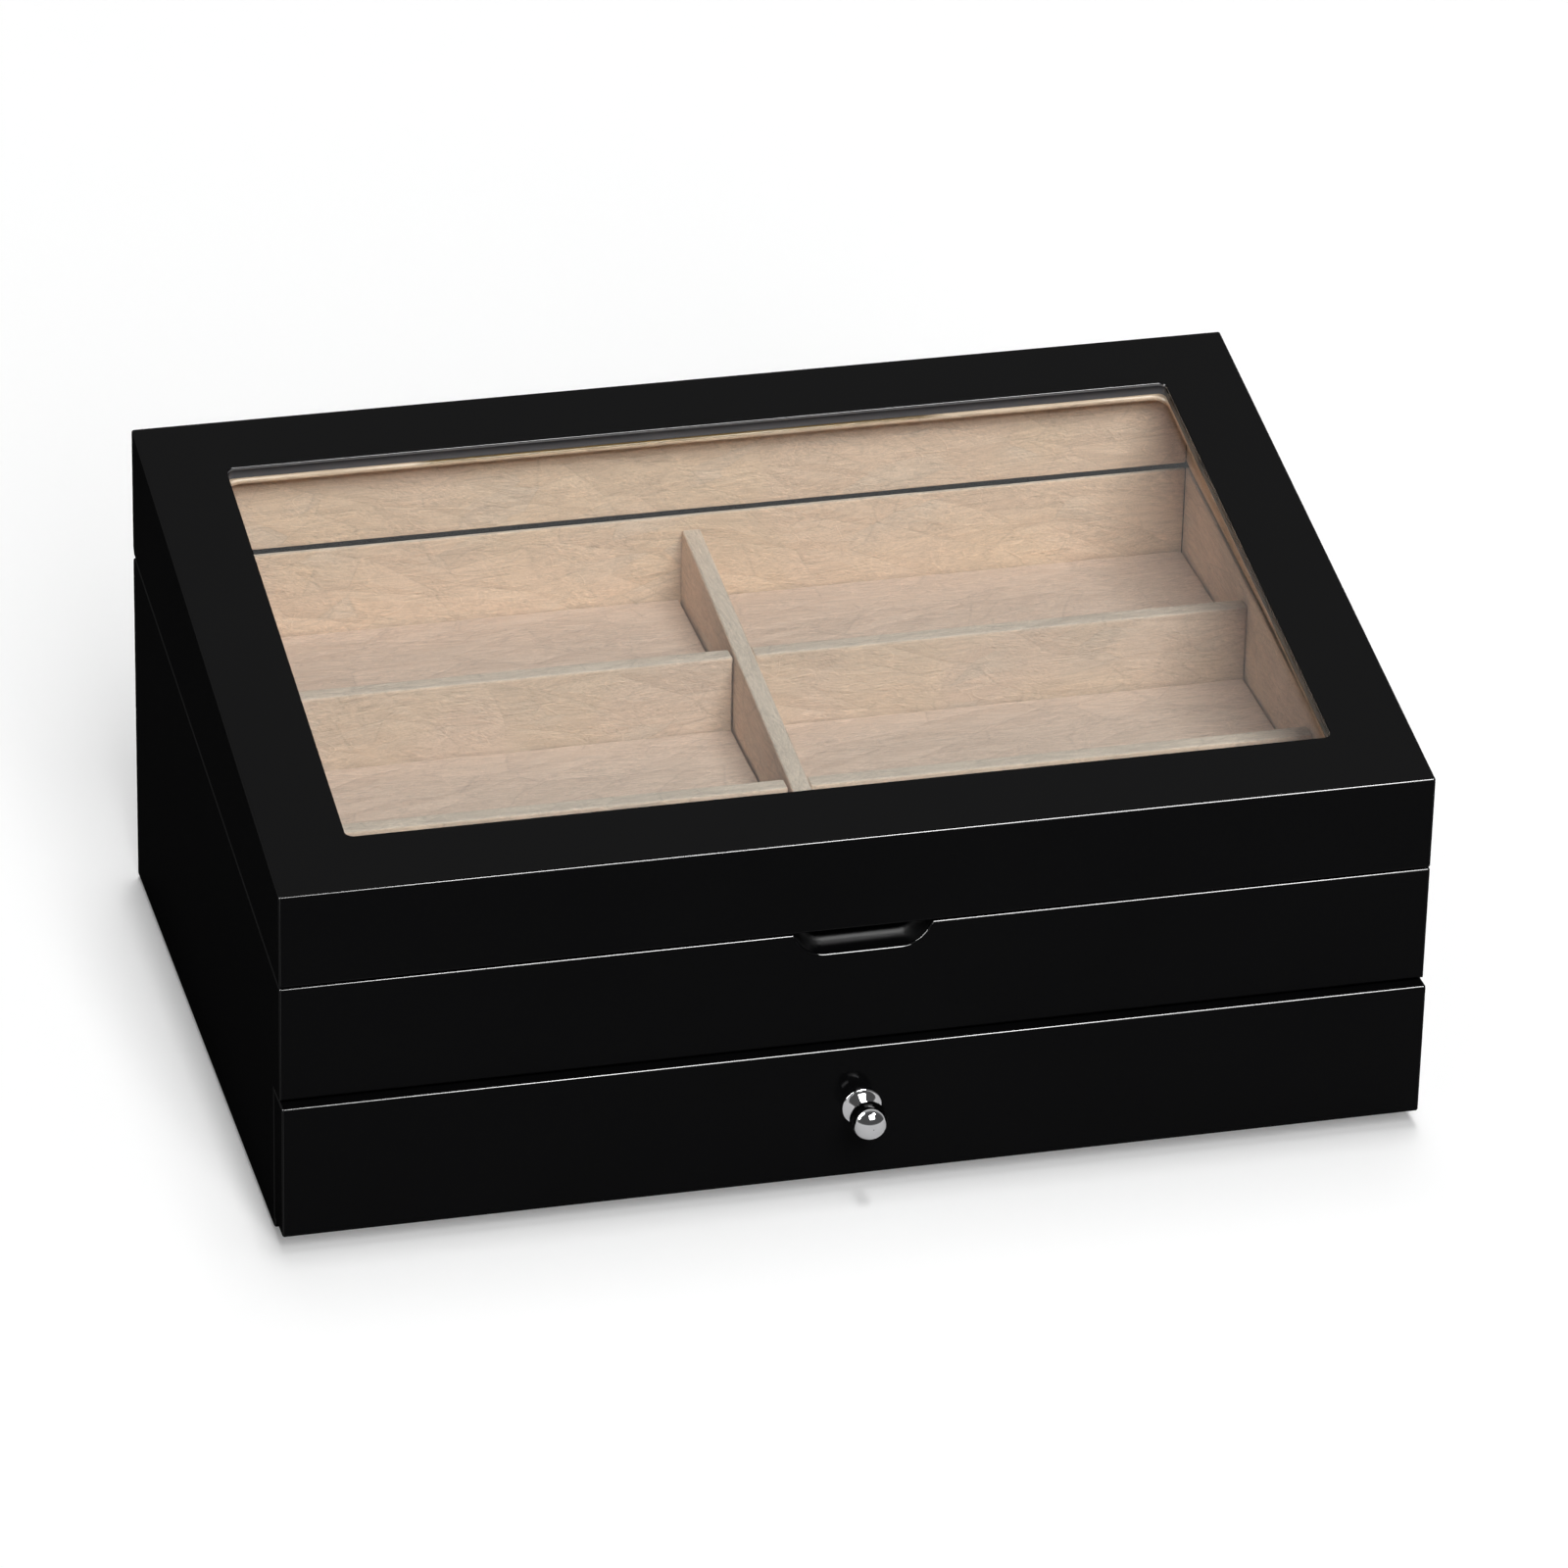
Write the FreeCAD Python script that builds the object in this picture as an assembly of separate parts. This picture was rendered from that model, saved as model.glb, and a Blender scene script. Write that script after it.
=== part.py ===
import FreeCAD, Part
import math
import os

# Eyeglasses storage box: a slant-topped case of lacquered board with a glazed lid that
# hinges up at the back, a lined tray of six stepped compartments and a full-width drawer.
# Millimetres. X runs to the right, the front faces -Y, Z is up, and the origin is the
# middle of the base on the table.

# Overall sizes
body_width = 350.0
body_depth = 230.0
upper_front_height = 37.5
rim_rise = 27.5
lid_front_height = 30.2
lid_back_height = 42.7

# Board and lining thicknesses
body_wall = 11.5
lining_thickness = 1.5
deck_thickness = 5.5
bottom_thickness = 6.0
felt_thickness = 1.0
felt_inset = 2.0
edge_round = 0.8

# The seam between the body and the lid
seam_gap = 0.3
lip_height = 2.0
lip_clearance = 0.5
lining_break = 2.1

# Lid top and window
lid_top_thickness = 6.5
window_border = 25.0
window_corner = 2.5
window_edge_round = 0.5
rebate_width = 4.0
glass_thickness = 2.5
glass_clearance = 0.3
retainer_thickness = 2.0
retainer_setback = 0.5
retainer_corner = 5.0
retainer_clearance = 0.2

# Finger notch in the top edge of the upper front panel
notch_width = 42.4
notch_floor_width = 34.0
notch_depth = 7.3
notch_reach = 7.0
notch_corner = 9.5
notch_bowl = 5.5

# Tray
divider_thickness = 6.0
divider_drop = 2.5
divider_gap = 0.2
divider_round = 1.2
floor_board = 2.5
front_batten_height = 8.6
floor_step = 10.2
batten_width = 8.0

# Drawer
drawer_lift = 4.8
drawer_front_height = 43.7
drawer_front_thickness = 12.0
drawer_proud = 3.0
drawer_top_gap = 1.0
drawer_shut_gap = 0.3
drawer_side_gap = 1.0
drawer_run_gap = 0.2
drawer_back_gap = 5.0
drawer_wall = 6.0
drawer_side_drop = 3.5
drawer_back_drop = 0.6
drawer_bottom_thickness = 3.0
drawer_bottom_lift = 2.0
groove_depth = 2.5
drawer_lining_drop = 1.0
drawer_floor_pad_thickness = 1.5
drawer_divider_drop = 5.3
drawer_left_inside = 24.2
stop_strip_width = 8.0
stop_strip_length = 120.0
stop_strip_thickness = 2.6
stop_clearance = 0.2

# Knob and its screw
knob_height = 28.6
knob_ball_diameter = 11.6
knob_collar_diameter = 12.2
knob_collar_thickness = 1.4
knob_collar_round = 0.5
knob_cone_height = 2.0
knob_neck_diameter = 5.6
knob_reach = 15.0
knob_hole_spare = 1.0
knob_screw_diameter = 4.0
knob_screw_head = 7.6
knob_screw_head_height = 2.6
knob_screw_head_round = 0.8
knob_screw_engagement = 8.0
knob_recess_reach = 1.9
knob_recess_width = 1.0
knob_recess_depth = 1.3
counterbore_clearance = 0.4

# Hinges
hinge_from_side = 65.0
hinge_length = 30.0
hinge_leaf_margin = 0.4
hinge_leaf_thickness = 1.0
knuckle_count = 3
knuckle_diameter = 4.0
knuckle_clearance = 0.3
knuckle_end_gap = 0.15
hinge_pin_diameter = 1.8
pin_clearance = 0.05
hinge_inset = 2.6
hinge_stop_angle = 100.0
mortise_clearance = 0.1
hinge_screw_spacing = 18.0
hinge_screw_diameter = 2.2
hinge_screw_head = 4.0
hinge_screw_length = 8.0
screw_clearance = 0.05
screw_recess_width = 0.5
screw_recess_depth = 0.5

# Shared by several pieces
fillet_margin = 0.5
match_tolerance = 0.01
SIDES = (("left", -1), ("right", 1))
ROWS = ("front", "middle", "back")

# Places and sizes that follow from the ones above
left_x = -body_width / 2
right_x = body_width / 2
front_y = -body_depth / 2
back_y = body_depth / 2
body_base = felt_thickness
drawer_front_top = drawer_lift + drawer_front_height
deck_bottom = drawer_front_top + drawer_top_gap
deck_top = deck_bottom + deck_thickness
front_rim_height = deck_bottom + upper_front_height
rim_slope = rim_rise / body_depth
rim_angle = math.degrees(math.atan(rim_slope))
lid_front_top = front_rim_height + seam_gap + lid_front_height
lid_back_top = front_rim_height + rim_rise + seam_gap + lid_back_height
lid_slope = (lid_back_top - lid_front_top) / body_depth
lid_angle = math.atan(lid_slope)
wall_and_lining = body_wall + lining_thickness
lid_wall = body_wall - lip_clearance
lid_lining_thickness = lining_thickness + lip_clearance
drawer_face_y = front_y - drawer_proud
drawer_front_back_y = drawer_face_y + drawer_front_thickness
shut_face_y = drawer_front_back_y + drawer_shut_gap
tray_left = left_x + wall_and_lining
tray_front = front_y + wall_and_lining
tray_back = back_y - wall_and_lining
row_depth = (tray_back - tray_front + divider_thickness) / len(ROWS) - divider_thickness
row_pitch = row_depth + divider_thickness
hinge_axis_y = back_y - hinge_inset
hinge_x = right_x - hinge_from_side
hinge_leaf_depth = lid_wall - hinge_inset - hinge_leaf_margin
knob_hole_depth = knob_screw_engagement + knob_hole_spare
far = 2 * (body_width + body_depth)


def same(place, other):
    """Whether two coordinates are the same place."""
    return abs(place - other) < match_tolerance


def rim(y):
    """Height of the body's sloping rim at y."""
    return front_rim_height + rim_slope * (y - front_y)


def lid_rim(y):
    """Height of the lid's lower edge at y, with the lid shut."""
    return rim(y) + seam_gap


def lid_top(y):
    """Height of the lid's upper face at y."""
    return lid_front_top + lid_slope * (y - front_y)


def lid_under(y):
    """Height of the under side of the lid's top board."""
    return lid_top(y) - lid_top_thickness / math.cos(lid_angle)


def retainer_under(y):
    """Height of the under side of the frame that holds the glass."""
    return lid_under(y) - retainer_thickness / math.cos(lid_angle)


def box(x0, x1, y0, y1, z0, z1):
    corner = FreeCAD.Vector(min(x0, x1), y0, z0)
    return Part.makeBox(abs(x1 - x0), y1 - y0, z1 - z0, corner)


def prism(x0, x1, outline):
    """A solid with the given (y, z) outline, from x0 to x1."""
    points = [FreeCAD.Vector(min(x0, x1), y, z) for y, z in outline]
    face = Part.Face(Part.makePolygon(points + points[:1]))
    return face.extrude(FreeCAD.Vector(abs(x1 - x0), 0, 0))


def between(x0, x1, y0, y1, lower, upper):
    """A block whose lower and upper faces follow two heights that depend on y."""
    outline = [(y0, lower(y0)), (y1, lower(y1)), (y1, upper(y1)), (y0, upper(y0))]
    return prism(x0, x1, outline)


def level(height):
    """A height that is the same at every y."""
    return lambda y: height


def above(height, amount):
    """A sloping height moved up by an amount."""
    return lambda y: height(y) + amount


def cylinder_x(x0, x1, radius):
    return Part.makeCylinder(radius, x1 - x0, FreeCAD.Vector(x0, 0, 0), FreeCAD.Vector(1, 0, 0))


def rounded_edges(solid, radius, keep):
    """Round the edges that keep accepts, told by where each edge has its middle."""
    edges = [edge for edge in solid.Edges if keep(edge.CenterOfMass)]
    return solid.makeFillet(radius, edges)


def rounded_slab(width, length, corner, z0, z1):
    """A flat slab centred on the origin with rounded upright corners."""
    slab = box(-width / 2, width / 2, -length / 2, length / 2, z0, z1)
    uprights = [edge for edge in slab.Edges if edge.BoundBox.ZLength > (z1 - z0) / 2]
    return slab.makeFillet(corner, uprights)


def save(name, shape):
    shape.exportStep("parts/" + name + ".step")


# The outer forms of the body and the lid


def stop_cut(direction):
    """The wedge behind the hinge line that a back edge loses so that the lid can swing
    to its stop. Direction is 1 for the lid and -1 for the body."""
    half = math.radians(hinge_stop_angle / 2)
    gap = seam_gap / 2
    along = FreeCAD.Vector(0, far * math.cos(half), direction * far * math.sin(half))
    start = FreeCAD.Vector(-far, 0, direction * gap)
    corners = [start, start + along, start + FreeCAD.Vector(0, far, 0)]
    if direction < 0:
        corners = [start, start + FreeCAD.Vector(0, far, 0), start + along]
    face = Part.Face(Part.makePolygon(corners + corners[:1]))
    wedge = face.extrude(FreeCAD.Vector(2 * far, 0, 0))
    gap_strip = box(-far, far, 0, far, -gap, gap)
    return on_hinge_line(wedge.fuse(gap_strip))


def on_hinge_line(shape, x=0.0):
    """Set a shape made about the X axis on the hinge line, tilted with the seam."""
    placed = shape.copy()
    placed.rotate(FreeCAD.Vector(0, 0, 0), FreeCAD.Vector(1, 0, 0), rim_angle)
    middle_of_gap = rim(hinge_axis_y) + seam_gap / 2
    placed.translate(FreeCAD.Vector(x, hinge_axis_y, middle_of_gap))
    return placed


def finger_notch():
    """The scoop under the lid's edge that a fingertip goes into."""
    top = rim(front_y)
    floor_z = top - notch_depth
    half_floor = notch_floor_width / 2
    spread = notch_width / 2 - half_floor
    widen = spread * seam_gap / notch_depth
    half_top = notch_width / 2 + widen
    corners = [
        (-half_top, top + seam_gap),
        (half_top, top + seam_gap),
        (half_floor, floor_z),
        (-half_floor, floor_z),
    ]
    points = [FreeCAD.Vector(x, front_y - seam_gap, z) for x, z in corners]
    face = Part.Face(Part.makePolygon(points + points[:1]))
    scoop = face.extrude(FreeCAD.Vector(0, notch_reach + seam_gap, 0))
    side_turn = math.atan2(notch_depth, spread)
    side_length = math.hypot(notch_depth, spread)
    largest_corner = (side_length - fillet_margin) / math.tan(side_turn / 2)
    corner_radius = min(notch_corner, largest_corner)

    def is_floor_corner(point):
        return same(point.z, floor_z) and same(abs(point.x), half_floor)

    scoop = rounded_edges(scoop, corner_radius, is_floor_corner)
    deep_y = front_y + notch_reach
    bowl_radius = min(notch_bowl, notch_reach - fillet_margin, corner_radius - fillet_margin)

    def is_back_edge(point):
        return same(point.y, deep_y) and not same(point.z, top + seam_gap)

    return rounded_edges(scoop, bowl_radius, is_back_edge)


def body_outer():
    """The outside of the body in one piece, before it is parted into boards."""
    outline = [
        (shut_face_y, body_base),
        (back_y, body_base),
        (back_y, rim(back_y)),
        (front_y, rim(front_y)),
        (front_y, deck_bottom),
        (shut_face_y, deck_bottom),
    ]
    solid = prism(left_x, right_x, outline).cut(finger_notch())
    notch_back = front_y + notch_reach

    def keep(point):
        at_back_rim = same(point.y, back_y) and same(point.z, rim(back_y))
        under_front = same(point.z, deck_bottom) and not same(point.y, front_y)
        in_notch = abs(point.x) < notch_width and front_y + match_tolerance < point.y
        in_notch = in_notch and point.y < notch_back + match_tolerance and point.z > deck_bottom
        return not (at_back_rim or under_front or in_notch)

    return rounded_edges(solid, edge_round, keep).cut(stop_cut(-1))


def lid_outer():
    """The outside of the lid in one piece, before it is parted into boards."""
    outline = [
        (front_y, lid_rim(front_y)),
        (back_y, lid_rim(back_y)),
        (back_y, lid_top(back_y)),
        (front_y, lid_top(front_y)),
    ]
    solid = prism(left_x, right_x, outline)

    def keep(point):
        return not (same(point.y, back_y) and same(point.z, lid_rim(back_y)))

    return rounded_edges(solid, edge_round, keep).cut(stop_cut(1))


def tilted_with_lid(shape):
    """Set a shape made flat about the origin into the plane of the lid's upper face."""
    placed = shape.copy()
    placed.rotate(FreeCAD.Vector(0, 0, 0), FreeCAD.Vector(1, 0, 0), math.degrees(lid_angle))
    placed.translate(FreeCAD.Vector(0, 0, lid_top(0)))
    return placed


# Body boards


def body_side(outer, side):
    inner = side * (right_x - body_wall)
    half = box(inner, side * far, -far, far, -far, far)
    return outer.common(half)


def hinge_pockets(leaf_side):
    """What the hinges and their screws take out of a board: -1 is the body, 1 the lid."""
    pockets = []
    for _, side in SIDES:
        x = side * hinge_x
        half = hinge_length / 2 + mortise_clearance
        barrel = cylinder_x(-half, half, knuckle_diameter / 2 + knuckle_clearance)
        reach = hinge_leaf_depth + mortise_clearance
        sunk = seam_gap / 2 + hinge_leaf_thickness + mortise_clearance
        bed = box(-half, half, -reach, 0, min(0, leaf_side * sunk), max(0, leaf_side * sunk))
        pockets.append(on_hinge_line(barrel.fuse(bed), x))
        for place in screw_places():
            hole_radius = hinge_screw_diameter / 2 + screw_clearance
            deep = seam_gap / 2 + hinge_screw_length + screw_clearance
            hole = Part.makeCylinder(hole_radius, deep, place, FreeCAD.Vector(0, 0, leaf_side))
            pockets.append(on_hinge_line(hole, x))
    return Part.makeCompound(pockets)


def back_panel(outer):
    middle = box(left_x + body_wall, right_x - body_wall, back_y - body_wall, far, -far, far)
    return outer.common(middle).cut(hinge_pockets(-1))


def upper_front_panel(outer):
    reach = front_y + body_wall
    middle = box(left_x + body_wall, right_x - body_wall, -far, reach, deck_bottom, far)
    return outer.common(middle)


def middle_deck():
    inner_front = front_y + body_wall
    inner_back = back_y - body_wall
    inner_x = right_x - body_wall
    return box(-inner_x, inner_x, inner_front, inner_back, deck_bottom, deck_top)


def bottom_board():
    inner_x = right_x - body_wall
    top = body_base + bottom_thickness
    return box(-inner_x, inner_x, shut_face_y, back_y - body_wall, body_base, top)


def base_felt():
    reach_x = right_x - felt_inset
    return box(-reach_x, reach_x, shut_face_y + felt_inset, back_y - felt_inset, 0, felt_thickness)


def drawer_travel():
    """How far the drawer pulls out, leaving its last stretch in the body."""
    return drawer_back_y() - shut_face_y - drawer_left_inside


def drawer_stop_strip():
    """The strip under the deck that the drawer's tall back board meets."""
    stop_face = drawer_back_inner_y() - drawer_travel() - stop_clearance
    low = deck_bottom - stop_strip_thickness
    half = stop_strip_length / 2
    return box(-half, half, stop_face - stop_strip_width, stop_face, low, deck_bottom)


# Tray lining, dividers and floors


def lining_top(y):
    return rim(y) + lip_height


def body_lining_side(side):
    outer_x = side * (right_x - body_wall)
    inner_x = side * (right_x - wall_and_lining)
    start = front_y + body_wall
    end = back_y - body_wall
    return between(outer_x, inner_x, start, end, level(deck_top), lining_top)


def body_lining_cross(y0, y1):
    inner_x = right_x - wall_and_lining
    return between(-inner_x, inner_x, y0, y1, level(deck_top), lining_top)


def divider_front_y(index):
    """Front face of cross divider 0, the front one, or 1, the rear one."""
    return tray_front + row_depth + index * row_pitch


def floor_height(row):
    return deck_top + front_batten_height + floor_board + row * floor_step


def row_span(row):
    start = tray_front + row * row_pitch
    return start, start + row_depth


def tray_centre_divider():
    half = divider_thickness / 2
    top = above(rim, -divider_drop)
    slat = between(-half, half, tray_front, tray_back, level(deck_top), top)
    radius = min(divider_round, half - divider_gap)

    def is_long_top_edge(point):
        return same(point.z, top(point.y)) and same(abs(point.x), half)

    return rounded_edges(slat, radius, is_long_top_edge)


def tray_cross_divider(side, index):
    start = divider_front_y(index)
    inner_x = side * (divider_thickness / 2 + divider_gap)
    outer_x = side * (right_x - wall_and_lining)
    top = rim(start) - divider_drop
    slat = box(inner_x, outer_x, start, start + divider_thickness, deck_top, top)
    radius = min(divider_round, divider_thickness / 2 - divider_gap)

    def is_long_top_edge(point):
        return same(point.z, top) and same(point.x, (inner_x + outer_x) / 2)

    return rounded_edges(slat, radius, is_long_top_edge)


def tray_floor(side, row):
    start, end = row_span(row)
    top = floor_height(row)
    inner_x = side * (divider_thickness / 2 + divider_gap)
    outer_x = side * (right_x - wall_and_lining - divider_gap)
    start += divider_gap
    end -= divider_gap
    return box(inner_x, outer_x, start, end, top - floor_board, top)


def row_battens(row):
    """Two battens on the deck under each half of a row's floor."""
    start, end = row_span(row)
    top = floor_height(row) - floor_board
    battens = []
    for _, side in SIDES:
        inner_x = side * (divider_thickness / 2 + divider_gap)
        outer_x = side * (right_x - wall_and_lining - divider_gap)
        front = start + divider_gap
        back = end - divider_gap
        battens.append(box(inner_x, outer_x, front, front + batten_width, deck_top, top))
        battens.append(box(inner_x, outer_x, back - batten_width, back, deck_top, top))
    return Part.makeCompound(battens)


# Lid boards, glass and lining


def window_size(extra):
    """Width and slope length of the window, made larger by extra on each edge."""
    slope_length = body_depth / math.cos(lid_angle)
    width = body_width - 2 * window_border + 2 * extra
    length = slope_length - 2 * window_border + 2 * extra
    return width, length


def lid_top_frame(outer):
    top_board = outer.common(between(-far, far, -far, far, lid_under, above(lid_top, far)))
    width, length = window_size(0)
    window = rounded_slab(width, length, window_corner, -far, far)
    rebate_size = window_size(rebate_width)
    rebate_top = glass_thickness - lid_top_thickness
    rebate = rounded_slab(*rebate_size, window_corner, -far, rebate_top)
    frame = top_board.cut(tilted_with_lid(window)).cut(tilted_with_lid(rebate))

    def is_window_edge(point):
        inside = abs(point.x) < width / 2 + match_tolerance and abs(point.y) < length / 2
        return inside and same(point.z, lid_top(point.y))

    return rounded_edges(frame, window_edge_round, is_window_edge)


def glass_pane():
    width, length = window_size(rebate_width - glass_clearance)
    top = glass_thickness - lid_top_thickness
    return tilted_with_lid(rounded_slab(width, length, window_corner, -lid_top_thickness, top))


def glass_retaining_frame():
    inner_x = right_x - lid_wall - retainer_clearance
    start = front_y + lid_wall + retainer_clearance
    end = back_y - lid_wall - retainer_clearance
    board = between(-inner_x, inner_x, start, end, retainer_under, lid_under)
    width, length = window_size(retainer_setback)
    window = rounded_slab(width, length, retainer_corner, -far, far)
    return board.cut(tilted_with_lid(window))


def below_lid_top(outer):
    return outer.common(between(-far, far, -far, far, level(-far), lid_under))


def lid_side_rail(outer, side):
    inner = side * (right_x - lid_wall)
    half = box(inner, side * far, -far, far, -far, far)
    return below_lid_top(outer).common(half)


def lid_cross_rail(outer, y0, y1):
    inner_x = right_x - lid_wall
    middle = box(-inner_x, inner_x, y0, y1, -far, far)
    return below_lid_top(outer).common(middle)


def lid_lining_bottom(y):
    return rim(y) + lip_height + lining_break


def lid_lining_side(side):
    outer_x = side * (right_x - lid_wall)
    inner_x = side * (right_x - lid_wall - lid_lining_thickness)
    start = front_y + lid_wall
    end = back_y - lid_wall
    return between(outer_x, inner_x, start, end, lid_lining_bottom, retainer_under)


def lid_lining_cross(y0, y1):
    inner_x = right_x - lid_wall - lid_lining_thickness
    return between(-inner_x, inner_x, y0, y1, lid_lining_bottom, retainer_under)


# Hinges, made about the X axis and then set on the hinge line


def screw_places():
    back_off = hinge_leaf_depth - (hinge_leaf_depth - knuckle_diameter / 2) / 2
    half = hinge_screw_spacing / 2
    return [FreeCAD.Vector(-half, -back_off, 0), FreeCAD.Vector(half, -back_off, 0)]


def screw_head_cone(leaf_side, extra):
    """The sunk head of a hinge screw, with its flat face level with the leaf."""
    outer = hinge_screw_head / 2 + extra
    inner = hinge_screw_diameter / 2 + extra
    depth = (hinge_screw_head - hinge_screw_diameter) / 2
    start = FreeCAD.Vector(0, 0, leaf_side * seam_gap / 2)
    return Part.makeCone(outer, inner, depth, start, FreeCAD.Vector(0, 0, leaf_side))


def hinge_leaf(leaf_side):
    """A leaf with its knuckles: the body's has the two end ones, the lid's the middle one."""
    half = hinge_length / 2
    knuckle_end = half / knuckle_count
    near = seam_gap / 2
    z0, z1 = sorted((leaf_side * near, leaf_side * (near + hinge_leaf_thickness)))
    plate = box(-half, half, -hinge_leaf_depth, 0, z0, z1)
    radius = knuckle_diameter / 2
    room = radius + knuckle_clearance
    ends = [(-half, -knuckle_end - knuckle_end_gap), (knuckle_end + knuckle_end_gap, half)]
    middle = [(-knuckle_end + knuckle_end_gap, knuckle_end - knuckle_end_gap)]
    own, other = (ends, middle) if leaf_side < 0 else (middle, ends)
    for x0, x1 in other:
        reach = 2 * knuckle_end_gap
        plate = plate.cut(cylinder_x(x0 - reach, x1 + reach, room))
    for x0, x1 in own:
        plate = plate.fuse(cylinder_x(x0, x1, radius))
    plate = plate.cut(cylinder_x(-half, half, hinge_pin_diameter / 2 + pin_clearance))
    for place in screw_places():
        hole = cylinder_z(place, hinge_screw_diameter / 2 + screw_clearance)
        sink = screw_head_cone(leaf_side, screw_clearance)
        sink.translate(place)
        plate = plate.cut(hole).cut(sink)
    return plate.removeSplitter()


def cylinder_z(place, radius):
    start = place - FreeCAD.Vector(0, 0, far / 2)
    return Part.makeCylinder(radius, far, start, FreeCAD.Vector(0, 0, 1))


def hinge_pins():
    half = hinge_length / 2
    pins = []
    for _, side in SIDES:
        pin = cylinder_x(-half, half, hinge_pin_diameter / 2)
        pins.append(on_hinge_line(pin, side * hinge_x))
    return Part.makeCompound(pins)


def hinge_screw(leaf_side):
    head = screw_head_cone(leaf_side, 0)
    start = FreeCAD.Vector(0, 0, leaf_side * seam_gap / 2)
    away = FreeCAD.Vector(0, 0, leaf_side)
    shank = Part.makeCylinder(hinge_screw_diameter / 2, hinge_screw_length, start, away)
    screw = head.fuse(shank)
    reach = hinge_screw_diameter / 2
    half = screw_recess_width / 2
    z0, z1 = sorted((0, leaf_side * (seam_gap / 2 + screw_recess_depth)))
    for arm in (box(-reach, reach, -half, half, z0, z1), box(-half, half, -reach, reach, z0, z1)):
        screw = screw.cut(arm)
    return screw


def hinge_screws(leaf_side):
    screws = []
    for _, side in SIDES:
        for place in screw_places():
            screw = hinge_screw(leaf_side)
            screw.translate(place)
            screws.append(on_hinge_line(screw, side * hinge_x))
    return Part.makeCompound(screws)


# Drawer


def drawer_floor_level():
    """The face that the drawer slides on."""
    return body_base + bottom_thickness + drawer_run_gap


def drawer_outer_x():
    return right_x - body_wall - drawer_side_gap


def drawer_back_y():
    return back_y - body_wall - drawer_back_gap


def drawer_back_inner_y():
    return drawer_back_y() - drawer_wall


def drawer_side_top():
    return deck_bottom - drawer_side_drop


def drawer_bottom_top():
    return drawer_floor_level() + drawer_bottom_lift + drawer_bottom_thickness


def drawer_front():
    face = drawer_face_y
    block = box(left_x, right_x, face, drawer_front_back_y, drawer_lift, drawer_front_top)
    block = block.makeFillet(edge_round, block.Edges)
    centre = FreeCAD.Vector(0, drawer_front_back_y, knob_height)
    towards_front = FreeCAD.Vector(0, -1, 0)
    hole_radius = knob_screw_diameter / 2 + screw_clearance
    hole = Part.makeCylinder(hole_radius, drawer_front_thickness, centre, towards_front)
    bore_radius = knob_screw_head / 2 + counterbore_clearance
    bore_depth = knob_screw_head_height + counterbore_clearance
    counterbore = Part.makeCylinder(bore_radius, bore_depth, centre, towards_front)
    return block.cut(hole).cut(counterbore)


def drawer_side(side):
    outer_x = side * drawer_outer_x()
    inner_x = side * (drawer_outer_x() - drawer_wall)
    start = drawer_front_back_y
    board = box(outer_x, inner_x, start, drawer_back_y(), drawer_floor_level(), drawer_side_top())
    groove_x = inner_x + side * groove_depth
    groove_low = drawer_floor_level() + drawer_bottom_lift
    groove_high = drawer_bottom_top()
    return board.cut(box(groove_x, inner_x, start, drawer_back_inner_y(), groove_low, groove_high))


def drawer_back():
    inner_x = drawer_outer_x() - drawer_wall
    top = deck_bottom - drawer_back_drop
    return box(-inner_x, inner_x, drawer_back_inner_y(), drawer_back_y(), drawer_floor_level(), top)


def drawer_bottom():
    reach_x = drawer_outer_x() - drawer_wall + groove_depth
    low = drawer_floor_level() + drawer_bottom_lift
    high = drawer_bottom_top()
    return box(-reach_x, reach_x, drawer_front_back_y, drawer_back_inner_y(), low, high)


def drawer_inner_x():
    return drawer_outer_x() - drawer_wall - lining_thickness


def drawer_inner_front():
    return drawer_front_back_y + lining_thickness


def drawer_inner_back():
    return drawer_back_inner_y() - lining_thickness


def drawer_lining_top():
    return drawer_side_top() - drawer_lining_drop


def drawer_lining_side(side):
    outer_x = side * (drawer_outer_x() - drawer_wall)
    inner_x = side * drawer_inner_x()
    low = drawer_bottom_top()
    high = drawer_lining_top()
    return box(outer_x, inner_x, drawer_front_back_y, drawer_back_inner_y(), low, high)


def drawer_lining_cross(y0, y1):
    reach_x = drawer_inner_x()
    return box(-reach_x, reach_x, y0, y1, drawer_bottom_top(), drawer_lining_top())


def drawer_floor_pad():
    reach_x = drawer_inner_x() - divider_gap
    start = drawer_inner_front() + divider_gap
    end = drawer_inner_back() - divider_gap
    low = drawer_bottom_top()
    return box(-reach_x, reach_x, start, end, low, low + drawer_floor_pad_thickness)


def drawer_divider_span():
    """Heights of the foot and the top of the drawer's dividers."""
    low = drawer_bottom_top() + drawer_floor_pad_thickness
    return low, drawer_lining_top() - drawer_divider_drop


def drawer_cross_y(index):
    pitch = (drawer_inner_back() - drawer_inner_front() + divider_thickness) / len(ROWS)
    return drawer_inner_front() + (index + 1) * pitch - divider_thickness


def drawer_centre_divider():
    """The long slat, slotted from below where the two cross slats pass."""
    half = divider_thickness / 2
    low, high = drawer_divider_span()
    middle = (low + high) / 2
    start = drawer_inner_front() + divider_gap
    end = drawer_inner_back() - divider_gap
    slat = box(-half, half, start, end, low, high)
    for index in (0, 1):
        y = drawer_cross_y(index)
        near = y - divider_gap
        away = y + divider_thickness + divider_gap
        slat = slat.cut(box(-far, far, near, away, low, middle))
    return slat


def drawer_cross_divider(index):
    """A cross slat, slotted from above where the long slat passes."""
    low, high = drawer_divider_span()
    middle = (low + high) / 2
    reach_x = drawer_inner_x() - divider_gap
    y = drawer_cross_y(index)
    slat = box(-reach_x, reach_x, y, y + divider_thickness, low, high)
    half = divider_thickness / 2 + divider_gap
    return slat.cut(box(-half, half, -far, far, middle, high))


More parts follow.
